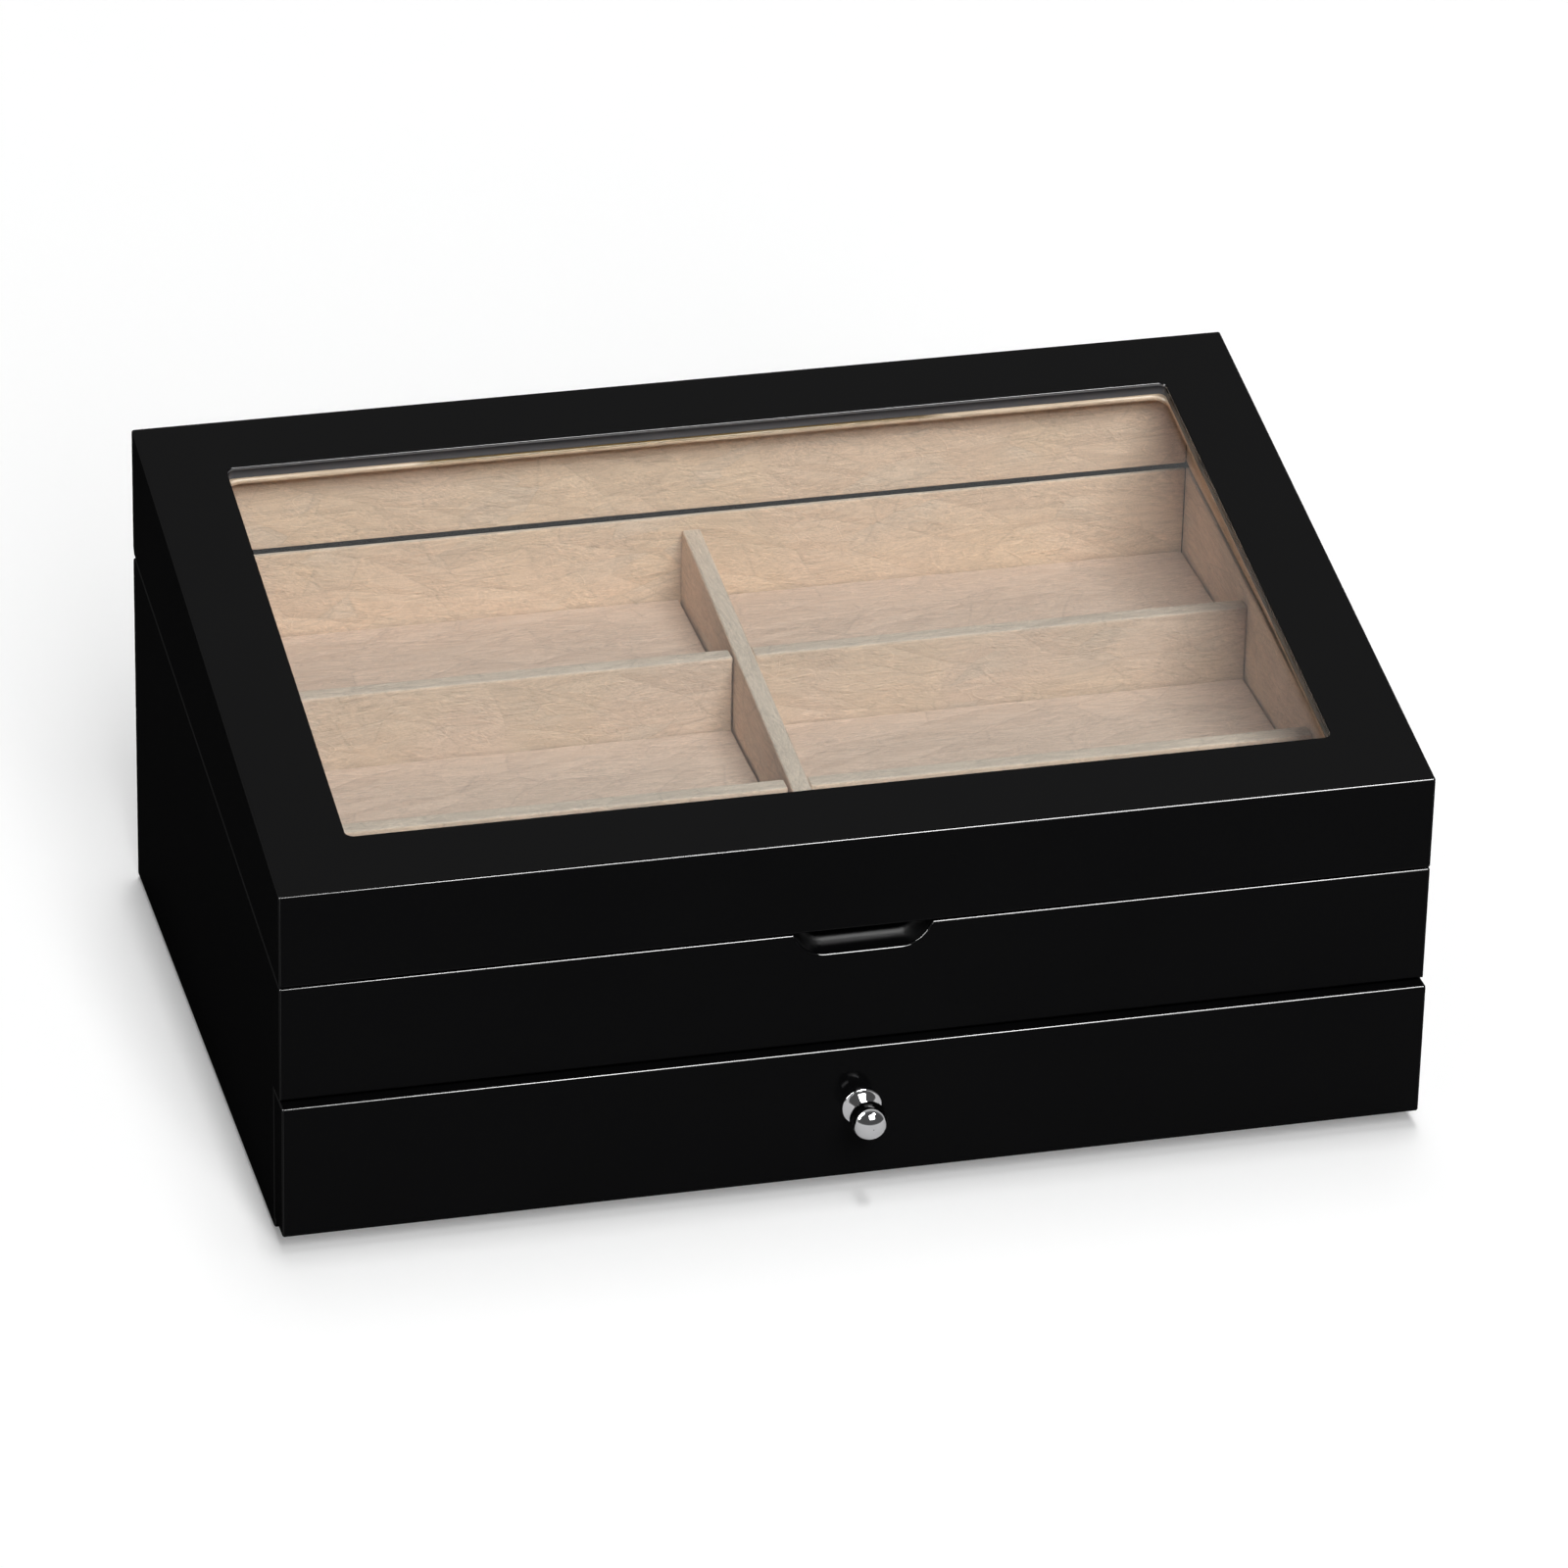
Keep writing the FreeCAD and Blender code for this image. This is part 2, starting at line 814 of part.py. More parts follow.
def drawer_knob():
    """A turned knob: a coned collar on the drawer, a short neck and a ball."""
    base = Part.makeCylinder(knob_collar_diameter / 2, knob_collar_thickness)
    radius = min(knob_collar_round, knob_collar_thickness - fillet_margin)
    base = rounded_edges(base, radius, lambda point: same(point.z, knob_collar_thickness))
    neck_radius = knob_neck_diameter / 2
    cone_radius = max(knob_collar_diameter / 2 - radius, neck_radius + match_tolerance)
    cone_base = FreeCAD.Vector(0, 0, knob_collar_thickness)
    cone = Part.makeCone(cone_radius, neck_radius, knob_cone_height, cone_base)
    ball_radius = knob_ball_diameter / 2
    ball_height = knob_reach - ball_radius
    stem = Part.makeCylinder(neck_radius, ball_height)
    ball = Part.makeSphere(ball_radius, FreeCAD.Vector(0, 0, ball_height))
    hole = Part.makeCylinder(knob_screw_diameter / 2 + screw_clearance, knob_hole_depth)
    knob = base.fuse(cone).fuse(stem).fuse(ball).cut(hole).removeSplitter()
    return facing_front(knob, drawer_face_y)


def facing_front(shape, y):
    """Turn a shape made along +Z to face the front, with its base at y."""
    placed = shape.copy()
    placed.rotate(FreeCAD.Vector(0, 0, 0), FreeCAD.Vector(1, 0, 0), 90)
    placed.translate(FreeCAD.Vector(0, y, knob_height))
    return placed


def knob_screw():
    """The screw that holds the knob, put in from inside the drawer."""
    head = Part.makeCylinder(knob_screw_head / 2, knob_screw_head_height)
    radius = min(knob_screw_head_round, knob_screw_head_height - fillet_margin)
    head = rounded_edges(head, radius, lambda point: same(point.z, 0))
    seat = drawer_front_thickness - knob_screw_head_height - counterbore_clearance
    start = FreeCAD.Vector(0, 0, knob_screw_head_height)
    shank = Part.makeCylinder(knob_screw_diameter / 2, seat + knob_screw_engagement, start)
    screw = head.fuse(shank)
    reach = knob_recess_reach
    half = knob_recess_width / 2
    screw = screw.cut(box(-reach, reach, -half, half, 0, knob_recess_depth))
    screw = screw.cut(box(-half, half, -reach, reach, 0, knob_recess_depth))
    return facing_front(screw, drawer_front_back_y - counterbore_clearance)


def build_body():
    outer = body_outer()
    for name, side in SIDES:
        save(name + "_side_panel", body_side(outer, side))
        save("body_lining_" + name, body_lining_side(side))
    save("back_panel", back_panel(outer))
    save("upper_front_panel", upper_front_panel(outer))
    save("middle_deck", middle_deck())
    save("bottom_board", bottom_board())
    save("base_felt", base_felt())
    save("drawer_stop_strip", drawer_stop_strip())
    save("body_lining_front", body_lining_cross(tray_front - lining_thickness, tray_front))
    save("body_lining_back", body_lining_cross(tray_back, tray_back + lining_thickness))


def build_tray():
    save("tray_centre_divider", tray_centre_divider())
    for name, side in SIDES:
        save("tray_" + name + "_front_divider", tray_cross_divider(side, 0))
        save("tray_" + name + "_rear_divider", tray_cross_divider(side, 1))
        for row, row_name in enumerate(ROWS):
            save("tray_" + name + "_" + row_name + "_floor", tray_floor(side, row))
    for row, row_name in enumerate(ROWS):
        save(row_name + "_row_battens", row_battens(row))


def build_lid():
    outer = lid_outer()
    inner_front = front_y + lid_wall
    inner_back = back_y - lid_wall
    save("lid_top_frame", lid_top_frame(outer))
    save("glass_pane", glass_pane())
    save("glass_retaining_frame", glass_retaining_frame())
    save("lid_front_rail", lid_cross_rail(outer, -far, inner_front))
    save("lid_back_rail", lid_cross_rail(outer, inner_back, far).cut(hinge_pockets(1)))
    save("lid_lining_front", lid_lining_cross(inner_front, inner_front + lid_lining_thickness))
    save("lid_lining_back", lid_lining_cross(inner_back - lid_lining_thickness, inner_back))
    for name, side in SIDES:
        save("lid_" + name + "_rail", lid_side_rail(outer, side))
        save("lid_lining_" + name, lid_lining_side(side))


def build_hinges():
    for name, side in SIDES:
        x = side * hinge_x
        save(name + "_hinge_body_leaf", on_hinge_line(hinge_leaf(-1), x))
        save(name + "_hinge_lid_leaf", on_hinge_line(hinge_leaf(1), x))
    save("hinge_pins", hinge_pins())
    save("body_hinge_screws", hinge_screws(-1))
    save("lid_hinge_screws", hinge_screws(1))


def build_drawer():
    save("drawer_front", drawer_front())
    save("drawer_back", drawer_back())
    save("drawer_bottom", drawer_bottom())
    for name, side in SIDES:
        save("drawer_" + name + "_side", drawer_side(side))
        save("drawer_lining_" + name, drawer_lining_side(side))
    save("drawer_lining_front", drawer_lining_cross(drawer_front_back_y, drawer_inner_front()))
    save("drawer_lining_back", drawer_lining_cross(drawer_inner_back(), drawer_back_inner_y()))
    save("drawer_floor_pad", drawer_floor_pad())
    save("drawer_centre_divider", drawer_centre_divider())
    save("drawer_front_divider", drawer_cross_divider(0))
    save("drawer_rear_divider", drawer_cross_divider(1))
    save("drawer_knob", drawer_knob())
    save("knob_screw", knob_screw())


os.makedirs("parts", exist_ok=True)
build_body()
build_tray()
build_lid()
build_hinges()
build_drawer()
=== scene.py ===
import math
import bpy
import numpy as np
from mathutils import Matrix, Vector


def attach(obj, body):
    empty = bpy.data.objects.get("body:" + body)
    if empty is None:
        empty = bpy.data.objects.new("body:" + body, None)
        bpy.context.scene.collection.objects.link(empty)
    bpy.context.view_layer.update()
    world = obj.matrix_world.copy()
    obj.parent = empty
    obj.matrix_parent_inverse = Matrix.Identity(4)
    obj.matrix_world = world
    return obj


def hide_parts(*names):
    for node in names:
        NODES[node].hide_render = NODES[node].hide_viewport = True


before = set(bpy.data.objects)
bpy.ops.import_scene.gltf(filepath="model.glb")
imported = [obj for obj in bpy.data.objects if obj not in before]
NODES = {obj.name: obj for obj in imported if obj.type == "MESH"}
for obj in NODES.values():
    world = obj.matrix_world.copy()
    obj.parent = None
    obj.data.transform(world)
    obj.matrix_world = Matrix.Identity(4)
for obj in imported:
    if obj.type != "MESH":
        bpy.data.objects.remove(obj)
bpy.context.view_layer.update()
MM = 0.001

# The view
VIEW_TARGET = Vector((0.00433, -0.00349, 0.07582))
VIEW_DISTANCE = 2.6728
VIEW_AZIMUTH = math.radians(14.887)
VIEW_ELEVATION = math.radians(28.403)
VIEW_ROLL = math.radians(1.4164)
VIEW_LENS = 200.83
VIEW_SENSOR = 36.0

# Covered boards and the frame round the glass, in millimetres
SUEDE_STEP = 1.2
FLOOR_EDGE = 0.7
LINING_EDGE = 0.6
DIVIDER_EDGE = 0.8
SUEDE_RELIEF = 0.16
SUEDE_RELIEF_LENGTH = 34.0
SUEDE_RELIEF_WIDTH = 9.0
FELT_EDGE = 0.4
FELT_STEP = 3.0
FELT_RELIEF = 0.08
NOTCH_EDGE = 1.0
EDGE_RINGS = 3
EDGE_ANGLE = math.radians(15.0)
FRAME_ROLL = 0.85
FRAME_FLATS = 5
FRAME_CORNER_STEPS = 10
FRAME_LONGEST_STEP = 4.0

# How far the cloth pieces stay back from what they butt against, along x, y and z
FLOOR_GAPS = (0.6, 0.6, 0.0)
CROSSWISE_GAPS = (0.3, 0.0, 0.0)
LENGTHWISE_GAPS = (0.0, 0.3, 0.0)

# The suede's patterns: length, width and turn in degrees
FOLDS = (46.0, 10.0, 14.0)
CROSS_FOLDS = (25.0, 7.0, -11.0)
SMALL_FOLDS = (7.5, 3.2, 24.0)
CREASES = ((60.0, 7.0, 8.0), (50.0, 8.0, -9.0), (36.0, 6.0, 21.0))
STREAK_TURNS = (11.0, 22.0, -4.0)
STREAK_SIZE = (24.0, 0.60)
NAP_TURNS = (-4.0, 12.0)
DRIFT_SIZE = 38.0
DRIFT_REACH = 4.0
FIBRE_SIZE = 0.42

# The colours, in linear light
LINING_COLOURS = ((0.680, 0.512, 0.370, 1), (0.678, 0.508, 0.378, 1), (0.645, 0.510, 0.395, 1))
# Painted shade: the dividers' suede is a darker, less warm copy of the lining colours
DIVIDER_SHADED_COLOURS = ((0.610, 0.472, 0.358, 1), (0.606, 0.467, 0.366, 1), (0.580, 0.472, 0.380, 1))
# Painted sheen: suede faces that point up take these colours, greyer on tops and pinker on floors
SUEDE_FLOOR_PAINTED_SHEEN = (0.635, 0.490, 0.395, 1)
SUEDE_TOP_PAINTED_SHEEN = (0.600, 0.505, 0.415, 1)
LACQUER_BLACK = (0.0018, 0.0018, 0.0020, 1)
LACQUER_SOFT_BLACK = (0.0026, 0.0026, 0.0028, 1)
# Painted reflection on the walls of the window opening, dark at the top and lighter further down, with a
# painted highlight along their top rim
WINDOW_RIM_PAINTED_HIGHLIGHT = (0.150, 0.150, 0.155, 1)
WINDOW_WALL_PAINTED_REFLECTION_DARK = (0.006, 0.006, 0.007, 1)
WINDOW_WALL_PAINTED_REFLECTION_LIGHT = (0.100, 0.100, 0.106, 1)

# Distant lamps that light only the floor, past the knob: name, place, target, width, depth, power
FLOOR_LAMPS = (
    ("floor_light_narrow", (0.42, 1.07, 20.0), (0.42, 1.07, 0.0), 1.4, 2.8, 980.0),
    ("floor_light_wide", (1.75, 3.80, 20.0), (1.75, 3.80, 0.0), 5.3, 10.7, 1060.0),
    ("floor_light_front", (0.65, -15.0, 12.6), (0.0, 0.0, 0.0), 6.0, 18.0, 2600.0),
)

# The floor's colours as it is seen and as it lights things, its own light, and the sky's levels
FLOOR_SEEN = (0.88, 0.88, 0.88, 1)
FLOOR_UNSEEN = (0.72, 0.72, 0.72, 1)
FLOOR_GLOW = 0.19
SKY_LIGHT = 0.08
ROOM_LEVEL = 0.14

SIDES = ("left", "right")
ROWS = ("front", "middle", "back")
LACQUERED = (
    "left_side_panel",
    "right_side_panel",
    "back_panel",
    "drawer_front",
    "lid_front_rail",
    "lid_back_rail",
    "lid_left_rail",
    "lid_right_rail",
)
PLAIN_BOARDS = (
    "middle_deck",
    "bottom_board",
    "drawer_stop_strip",
    "front_row_battens",
    "middle_row_battens",
    "back_row_battens",
)
DRAWER_BOARDS = ("drawer_back", "drawer_left_side", "drawer_right_side", "drawer_bottom")
HINGE_LEAVES = (
    "left_hinge_body_leaf",
    "right_hinge_body_leaf",
    "left_hinge_lid_leaf",
    "right_hinge_lid_leaf",
    "hinge_pins",
)
SCREWS = ("body_hinge_screws", "lid_hinge_screws", "knob_screw")


def add(tree, kind, inputs=(), **settings):
    """A new node. An input may be a value or another node's output."""
    node = tree.nodes.new(kind)
    for name, value in settings.items():
        setattr(node, name, value)
    for name, value in dict(inputs).items():
        if isinstance(value, bpy.types.NodeSocket):
            tree.links.new(value, node.inputs[name])
        else:
            node.inputs[name].default_value = value
    return node


def calc(tree, operation, *values):
    """A sum on numbers, as one output."""
    return add(tree, "ShaderNodeMath", dict(enumerate(values)), operation=operation).outputs[0]


def vector_calc(tree, operation, *values):
    """A sum on vectors, as one output."""
    node = add(tree, "ShaderNodeVectorMath", dict(enumerate(values)), operation=operation)
    return node.outputs["Value" if operation in ("DOT_PRODUCT", "LENGTH") else "Vector"]


def scaled(tree, vector, factor):
    node = add(tree, "ShaderNodeVectorMath", {0: vector, "Scale": factor}, operation="SCALE")
    return node.outputs["Vector"]


def remap(tree, value, low, high, new_low=0.0, new_high=1.0):
    """A value eased from one range into another."""
    inputs = {0: value, 1: low, 2: high, 3: new_low, 4: new_high}
    node = add(tree, "ShaderNodeMapRange", inputs, interpolation_type="SMOOTHSTEP")
    return node.outputs[0]


def blend_colour(tree, share, first, second):
    inputs = {"Factor": share, 6: first, 7: second}
    return add(tree, "ShaderNodeMix", inputs, data_type="RGBA").outputs[2]


def blend_value(tree, share, first, second):
    return add(tree, "ShaderNodeMix", {0: share, 2: first, 3: second}).outputs[0]


def noise(tree, vector, size, detail=2.0, roughness=0.5):
    """Noise whose features are about as large as size, in the units of the vector."""
    inputs = {"Vector": vector, "Scale": 1 / size, "Detail": detail, "Roughness": roughness}
    return add(tree, "ShaderNodeTexNoise", inputs).outputs["Fac"]


def stretched(tree, vector, along, across, turn=0.0):
    """Coordinates turned by an angle, then stretched along their first axis."""
    angle = math.radians(turn)
    inputs = {
        "Vector": vector,
        "Rotation": (0.0, angle, angle),
        "Scale": (along, across, across),
    }
    return add(tree, "ShaderNodeMapping", inputs, vector_type="TEXTURE").outputs[0]


def group_tree(name, kind, inputs, outputs):
    """A node group with named sockets: (name, socket type, default)."""
    tree = bpy.data.node_groups.new(name, kind)
    for label, socket_kind, default in inputs:
        socket = tree.interface.new_socket(label, in_out="INPUT", socket_type=socket_kind)
        if default is not None:
            socket.default_value = default
    for label, socket_kind in outputs:
        tree.interface.new_socket(label, in_out="OUTPUT", socket_type=socket_kind)
    return tree, tree.nodes.new("NodeGroupInput").outputs, tree.nodes.new("NodeGroupOutput").inputs


def use_group(tree, group, inputs):
    return add(tree, "ShaderNodeGroup", inputs, node_tree=group).outputs


def new_material(name):
    """A material with an empty tree, its Principled shader and its output."""
    material = bpy.data.materials.new(name)
    material.use_nodes = True
    tree = material.node_tree
    tree.nodes.clear()
    shader = add(tree, "ShaderNodeBsdfPrincipled")
    output = add(tree, "ShaderNodeOutputMaterial")
    tree.links.new(shader.outputs[0], output.inputs["Surface"])
    return material, tree, shader.inputs


def object_millimetres(tree):
    """Object coordinates in millimetres."""
    place = add(tree, "ShaderNodeTexCoord").outputs["Object"]
    return scaled(tree, place, 1 / MM)


def raise_surface(tree, shader, height, distance, strength=1.0):
    """Bump on a shader, where a height of 1 is worth a distance in millimetres."""
    inputs = {"Height": height, "Distance": distance * MM, "Strength": strength}
    bump = add(tree, "ShaderNodeBump", inputs)
    tree.links.new(bump.outputs[0], shader["Normal"])


def quarter_turned(tree, place):
    """The same coordinates with x and y swapped round."""
    inputs = {"Vector": place, "Rotation": (0.0, 0.0, math.pi / 2)}
    return add(tree, "ShaderNodeMapping", inputs).outputs[0]


# Crushed suede: facets brushed different ways, with thin creases between them


def facets(tree, vector, along, across, turn):
    """Cells of a stretched pattern: the distance to their edges, and two values for each."""
    place = stretched(tree, vector, along, across, turn)
    edges = add(tree, "ShaderNodeTexVoronoi", {"Vector": place, "Scale": 1.0}, feature="DISTANCE_TO_EDGE")
    cells = add(tree, "ShaderNodeTexVoronoi", {"Vector": place, "Scale": 1.0})
    value = add(tree, "ShaderNodeSeparateColor", {0: cells.outputs["Color"]}).outputs
    return edges.outputs[0], value[0], value[1]


def crease_lines(tree, vector, along, across, turn):
    """Long thin lines where a stretched noise passes its middle, here and there."""
    field = noise(tree, stretched(tree, vector, along, across, turn), 1.0, 0.0)
    away = calc(tree, "ABSOLUTE", calc(tree, "SUBTRACT", field, 0.5))
    line = remap(tree, away, 0.0, 0.010, 1.0, 0.0)
    here = remap(tree, noise(tree, stretched(tree, vector, 26.0, 9.0, turn), 1.0, 1.0), 0.47, 0.60)
    return calc(tree, "MULTIPLY", line, here)


def brushed_nap(tree, vector, way):
    """Fine, nearly straight streaks that lie a little differently in each facet."""
    angle = remap(tree, way, 0.0, 1.0, *(math.radians(turn) for turn in NAP_TURNS))
    turn = add(tree, "ShaderNodeCombineXYZ", {1: angle, 2: angle}).outputs[0]
    inputs = {"Vector": vector, "Rotation": turn}
    turned = add(tree, "ShaderNodeVectorRotate", inputs, rotation_type="EULER_XYZ").outputs[0]
    broad = noise(tree, stretched(tree, turned, 26.0, 1.6), 1.0, 1.0)
    fine = noise(tree, stretched(tree, turned, 12.0, 0.40), 1.0, 1.0, 0.65)
    return blend_value(tree, 0.62, broad, fine)


def thin_streaks(tree, vector, turn):
    """Sparse straight streaks, pale (above 0) and dark (below), here and there."""
    lines = noise(tree, stretched(tree, vector, *STREAK_SIZE, turn), 1.0, 0.0)
    pale = remap(tree, lines, 0.60, 0.74)
    dark = remap(tree, lines, 0.26, 0.40, 1.0, 0.0)
    here = remap(tree, noise(tree, stretched(tree, vector, 15.0, 7.0, turn), 1.0, 1.0), 0.45, 0.58)
    return calc(tree, "MULTIPLY", calc(tree, "SUBTRACT", pale, dark), here)


def suede_group():
    tree, given, made = group_tree(
        "crushed_suede",
        "ShaderNodeTree",
        [
            ("Vector", "NodeSocketVector", None),
            ("Upward Share", "NodeSocketFloat", 0.0),
            ("Warm", "NodeSocketColor", LINING_COLOURS[0]),
            ("Pink", "NodeSocketColor", LINING_COLOURS[1]),
            ("Grey", "NodeSocketColor", LINING_COLOURS[2]),
            ("Upward", "NodeSocketColor", SUEDE_TOP_PAINTED_SHEEN),
        ],
        [
            ("Color", "NodeSocketColor"),
            ("Roughness", "NodeSocketFloat"),
            ("Height", "NodeSocketFloat"),
        ],
    )
    place = given["Vector"]
    drift_inputs = {"Vector": place, "Scale": 1 / DRIFT_SIZE, "Detail": 1.0}
    drift = add(tree, "ShaderNodeTexNoise", drift_inputs).outputs["Color"]
    drift = vector_calc(tree, "SUBTRACT", drift, (0.5, 0.5, 0.5))
    place = vector_calc(tree, "ADD", place, scaled(tree, drift, DRIFT_REACH))
    fold, tone, way = facets(tree, place, *FOLDS)
    cross_fold, cross_tone, _ = facets(tree, place, *CROSS_FOLDS)
    small_fold = facets(tree, place, *SMALL_FOLDS)[0]
    crossed = remap(tree, noise(tree, place, 34.0, 1.0), 0.42, 0.58)
    crumpled = remap(tree, noise(tree, place, 27.0, 1.0), 0.55, 0.65)
    nap = brushed_nap(tree, place, way)
    crease_relief_and_painted_highlight = crease_lines(tree, place, *CREASES[0])
    for crease in CREASES[1:]:
        crease_relief_and_painted_highlight = calc(tree, "MAXIMUM", crease_relief_and_painted_highlight, crease_lines(tree, place, *crease))
    # Painted shade along the fold lines, and painted highlight on the small crumple folds
    fold_painted_shade = remap(tree, fold, 0.0, 0.024, 1.0, 0.0)
    cross_fold_painted_shade = remap(tree, cross_fold, 0.0, 0.032, 1.0, 0.0)
    fold_painted_shade = calc(tree, "MAXIMUM", fold_painted_shade, calc(tree, "MULTIPLY", cross_fold_painted_shade, crossed))
    fold_painted_shade = calc(tree, "MULTIPLY", fold_painted_shade, remap(tree, noise(tree, place, 17.0, 1.0), 0.36, 0.52))
    crumple_painted_highlight = calc(tree, "MULTIPLY", remap(tree, small_fold, 0.0, 0.07, 1.0, 0.0), crumpled)
    streaks = thin_streaks(tree, place, STREAK_TURNS[0])
    for turn in STREAK_TURNS[1:]:
        streaks = calc(tree, "ADD", streaks, thin_streaks(tree, place, turn))
    fibre = noise(tree, stretched(tree, place, 1.7, 1.0), FIBRE_SIZE, 2.0, 0.7)
    pinker = remap(tree, noise(tree, place, 40.0, 1.0), 0.40, 0.60)
    # Painted sheen: on some facets the colour turns greyer, where the nap would catch the light
    painted_sheen_patches = calc(tree, "MULTIPLY", remap(tree, cross_tone, 0.50, 0.95), crossed)
    colour = blend_colour(tree, pinker, given["Warm"], given["Pink"])
    colour = blend_colour(tree, calc(tree, "MULTIPLY", painted_sheen_patches, 0.7), colour, given["Grey"])
    # Painted sheen: faces that point up blend towards the Upward colour
    colour = blend_colour(tree, given["Upward Share"], colour, given["Upward"])
    light = remap(tree, nap, 0.38, 0.62, 0.93, 1.06)
    light = calc(tree, "MULTIPLY", light, remap(tree, fibre, 0.25, 0.75, 0.92, 1.08))
    light = calc(tree, "MULTIPLY", light, remap(tree, tone, 0.0, 1.0, 0.965, 1.03))
    # Painted highlight along crease ridges and crumple folds, and painted shade along the fold lines
    for part, share in ((crease_relief_and_painted_highlight, 0.09), (crumple_painted_highlight, 0.05), (fold_painted_shade, -0.11), (streaks, 0.08)):
        light = calc(tree, "MULTIPLY_ADD", part, share, light)
    tree.links.new(scaled(tree, colour, light), made["Color"])
    tree.links.new(remap(tree, nap, 0.38, 0.62, 0.95, 0.80), made["Roughness"])
    height = calc(tree, "MULTIPLY", fold, 0.95)
    height = calc(tree, "MULTIPLY_ADD", calc(tree, "MULTIPLY", cross_fold, crossed), 0.55, height)
    height = calc(tree, "MULTIPLY_ADD", calc(tree, "MULTIPLY", small_fold, crumpled), 0.26, height)
    for part, share in ((nap, 0.06), (crease_relief_and_painted_highlight, 0.07), (streaks, 0.04), (fibre, 0.02)):
        height = calc(tree, "MULTIPLY_ADD", part, share, height)
    tree.links.new(height, made["Height"])
    return tree


def suede_material(name, group, crosswise, upward, colours):
    """Suede whose nap runs across the box, or from front to back."""
    material, tree, shader = new_material(name)
    place = object_millimetres(tree)
    if not crosswise:
        place = quarter_turned(tree, place)
    normal = add(tree, "ShaderNodeTexCoord").outputs["Normal"]
    rise = add(tree, "ShaderNodeSeparateXYZ", {0: normal}).outputs[2]
    # How far a face points up, which sets the painted sheen on tops and floors
    share = remap(tree, rise, 0.55, 0.95)
    inputs = {"Vector": place, "Upward Share": share, "Upward": upward}
    inputs.update(zip(("Warm", "Pink", "Grey"), colours))
    out = use_group(tree, group, inputs)
    tree.links.new(out["Color"], shader["Base Color"])
    tree.links.new(out["Roughness"], shader["Roughness"])
    shader["Specular IOR Level"].default_value = 0.15
    shader["Sheen Weight"].default_value = 0.08
    shader["Sheen Roughness"].default_value = 0.5
    raise_surface(tree, shader, out["Height"], 1.0)
    return material


# Lacquer: deep black, with the rounded edges buffed to a higher gloss than the faces


def face_directions():
    """The directions that the box's flat faces point in, besides the three axes."""
    tops = [slant("lid_left_rail"), slant("left_side_panel")]
    directions = []
    for front_low, front_high, back_low, back_high, depth in tops:
        for rise in (back_high - front_high, back_low - front_low):
            directions.append(Vector((0.0, -rise, depth)).normalized())
    return directions


def edge_group(directions):
    tree, given, made = group_tree(
        "buffed_edges",
        "ShaderNodeTree",
        [("Normal", "NodeSocketVector", None)],
        [("Edge", "NodeSocketFloat")],
    )
    flat = add(tree, "ShaderNodeSeparateXYZ", {0: vector_calc(tree, "ABSOLUTE", given["Normal"])})
    straight = calc(tree, "MAXIMUM", flat.outputs[0], flat.outputs[1])
    straight = calc(tree, "MAXIMUM", straight, flat.outputs[2])
    for direction in directions:
        facing = vector_calc(tree, "DOT_PRODUCT", given["Normal"], direction)
        straight = calc(tree, "MAXIMUM", straight, calc(tree, "ABSOLUTE", facing))
        across = Vector((0.0, direction.z, -direction.y))
        facing = vector_calc(tree, "DOT_PRODUCT", given["Normal"], across)
        straight = calc(tree, "MAXIMUM", straight, calc(tree, "ABSOLUTE", facing))
    tree.links.new(remap(tree, straight, 0.86, 0.975, 1.0, 0.0), made["Edge"])
    return tree


def window_wall_group():
    """Tells the walls of the window opening, and how far down them a point is."""
    tree, given, made = group_tree(
        "window_walls",
        "ShaderNodeTree",
        [
            ("Vector", "NodeSocketVector", None),
            ("Normal", "NodeSocketVector", None),
            ("Up", "NodeSocketVector", None),
            ("Along", "NodeSocketVector", None),
            ("Half Width", "NodeSocketFloat", 0.0),
            ("Start", "NodeSocketFloat", 0.0),
            ("End", "NodeSocketFloat", 0.0),
            ("Top", "NodeSocketFloat", 0.0),
            ("Depth", "NodeSocketFloat", 1.0),
        ],
        [("Wall", "NodeSocketFloat"), ("Down", "NodeSocketFloat")],
    )
    side = add(tree, "ShaderNodeSeparateXYZ", {0: given["Vector"]}).outputs[0]
    inside = calc(tree, "LESS_THAN", calc(tree, "ABSOLUTE", side), given["Half Width"])
    along = vector_calc(tree, "DOT_PRODUCT", given["Vector"], given["Along"])
    inside = calc(tree, "MULTIPLY", inside, calc(tree, "GREATER_THAN", along, given["Start"]))
    inside = calc(tree, "MULTIPLY", inside, calc(tree, "LESS_THAN", along, given["End"]))
    slope = vector_calc(tree, "DOT_PRODUCT", given["Normal"], given["Up"])
    upright = remap(tree, calc(tree, "ABSOLUTE", slope), 0.10, 0.45, 1.0, 0.0)
    tree.links.new(calc(tree, "MULTIPLY", inside, upright), made["Wall"])
    height = vector_calc(tree, "DOT_PRODUCT", given["Vector"], given["Up"])
    below = calc(tree, "SUBTRACT", given["Top"], height)
    tree.links.new(remap(tree, calc(tree, "DIVIDE", below, given["Depth"]), 0.1, 0.9), made["Down"])
    return tree


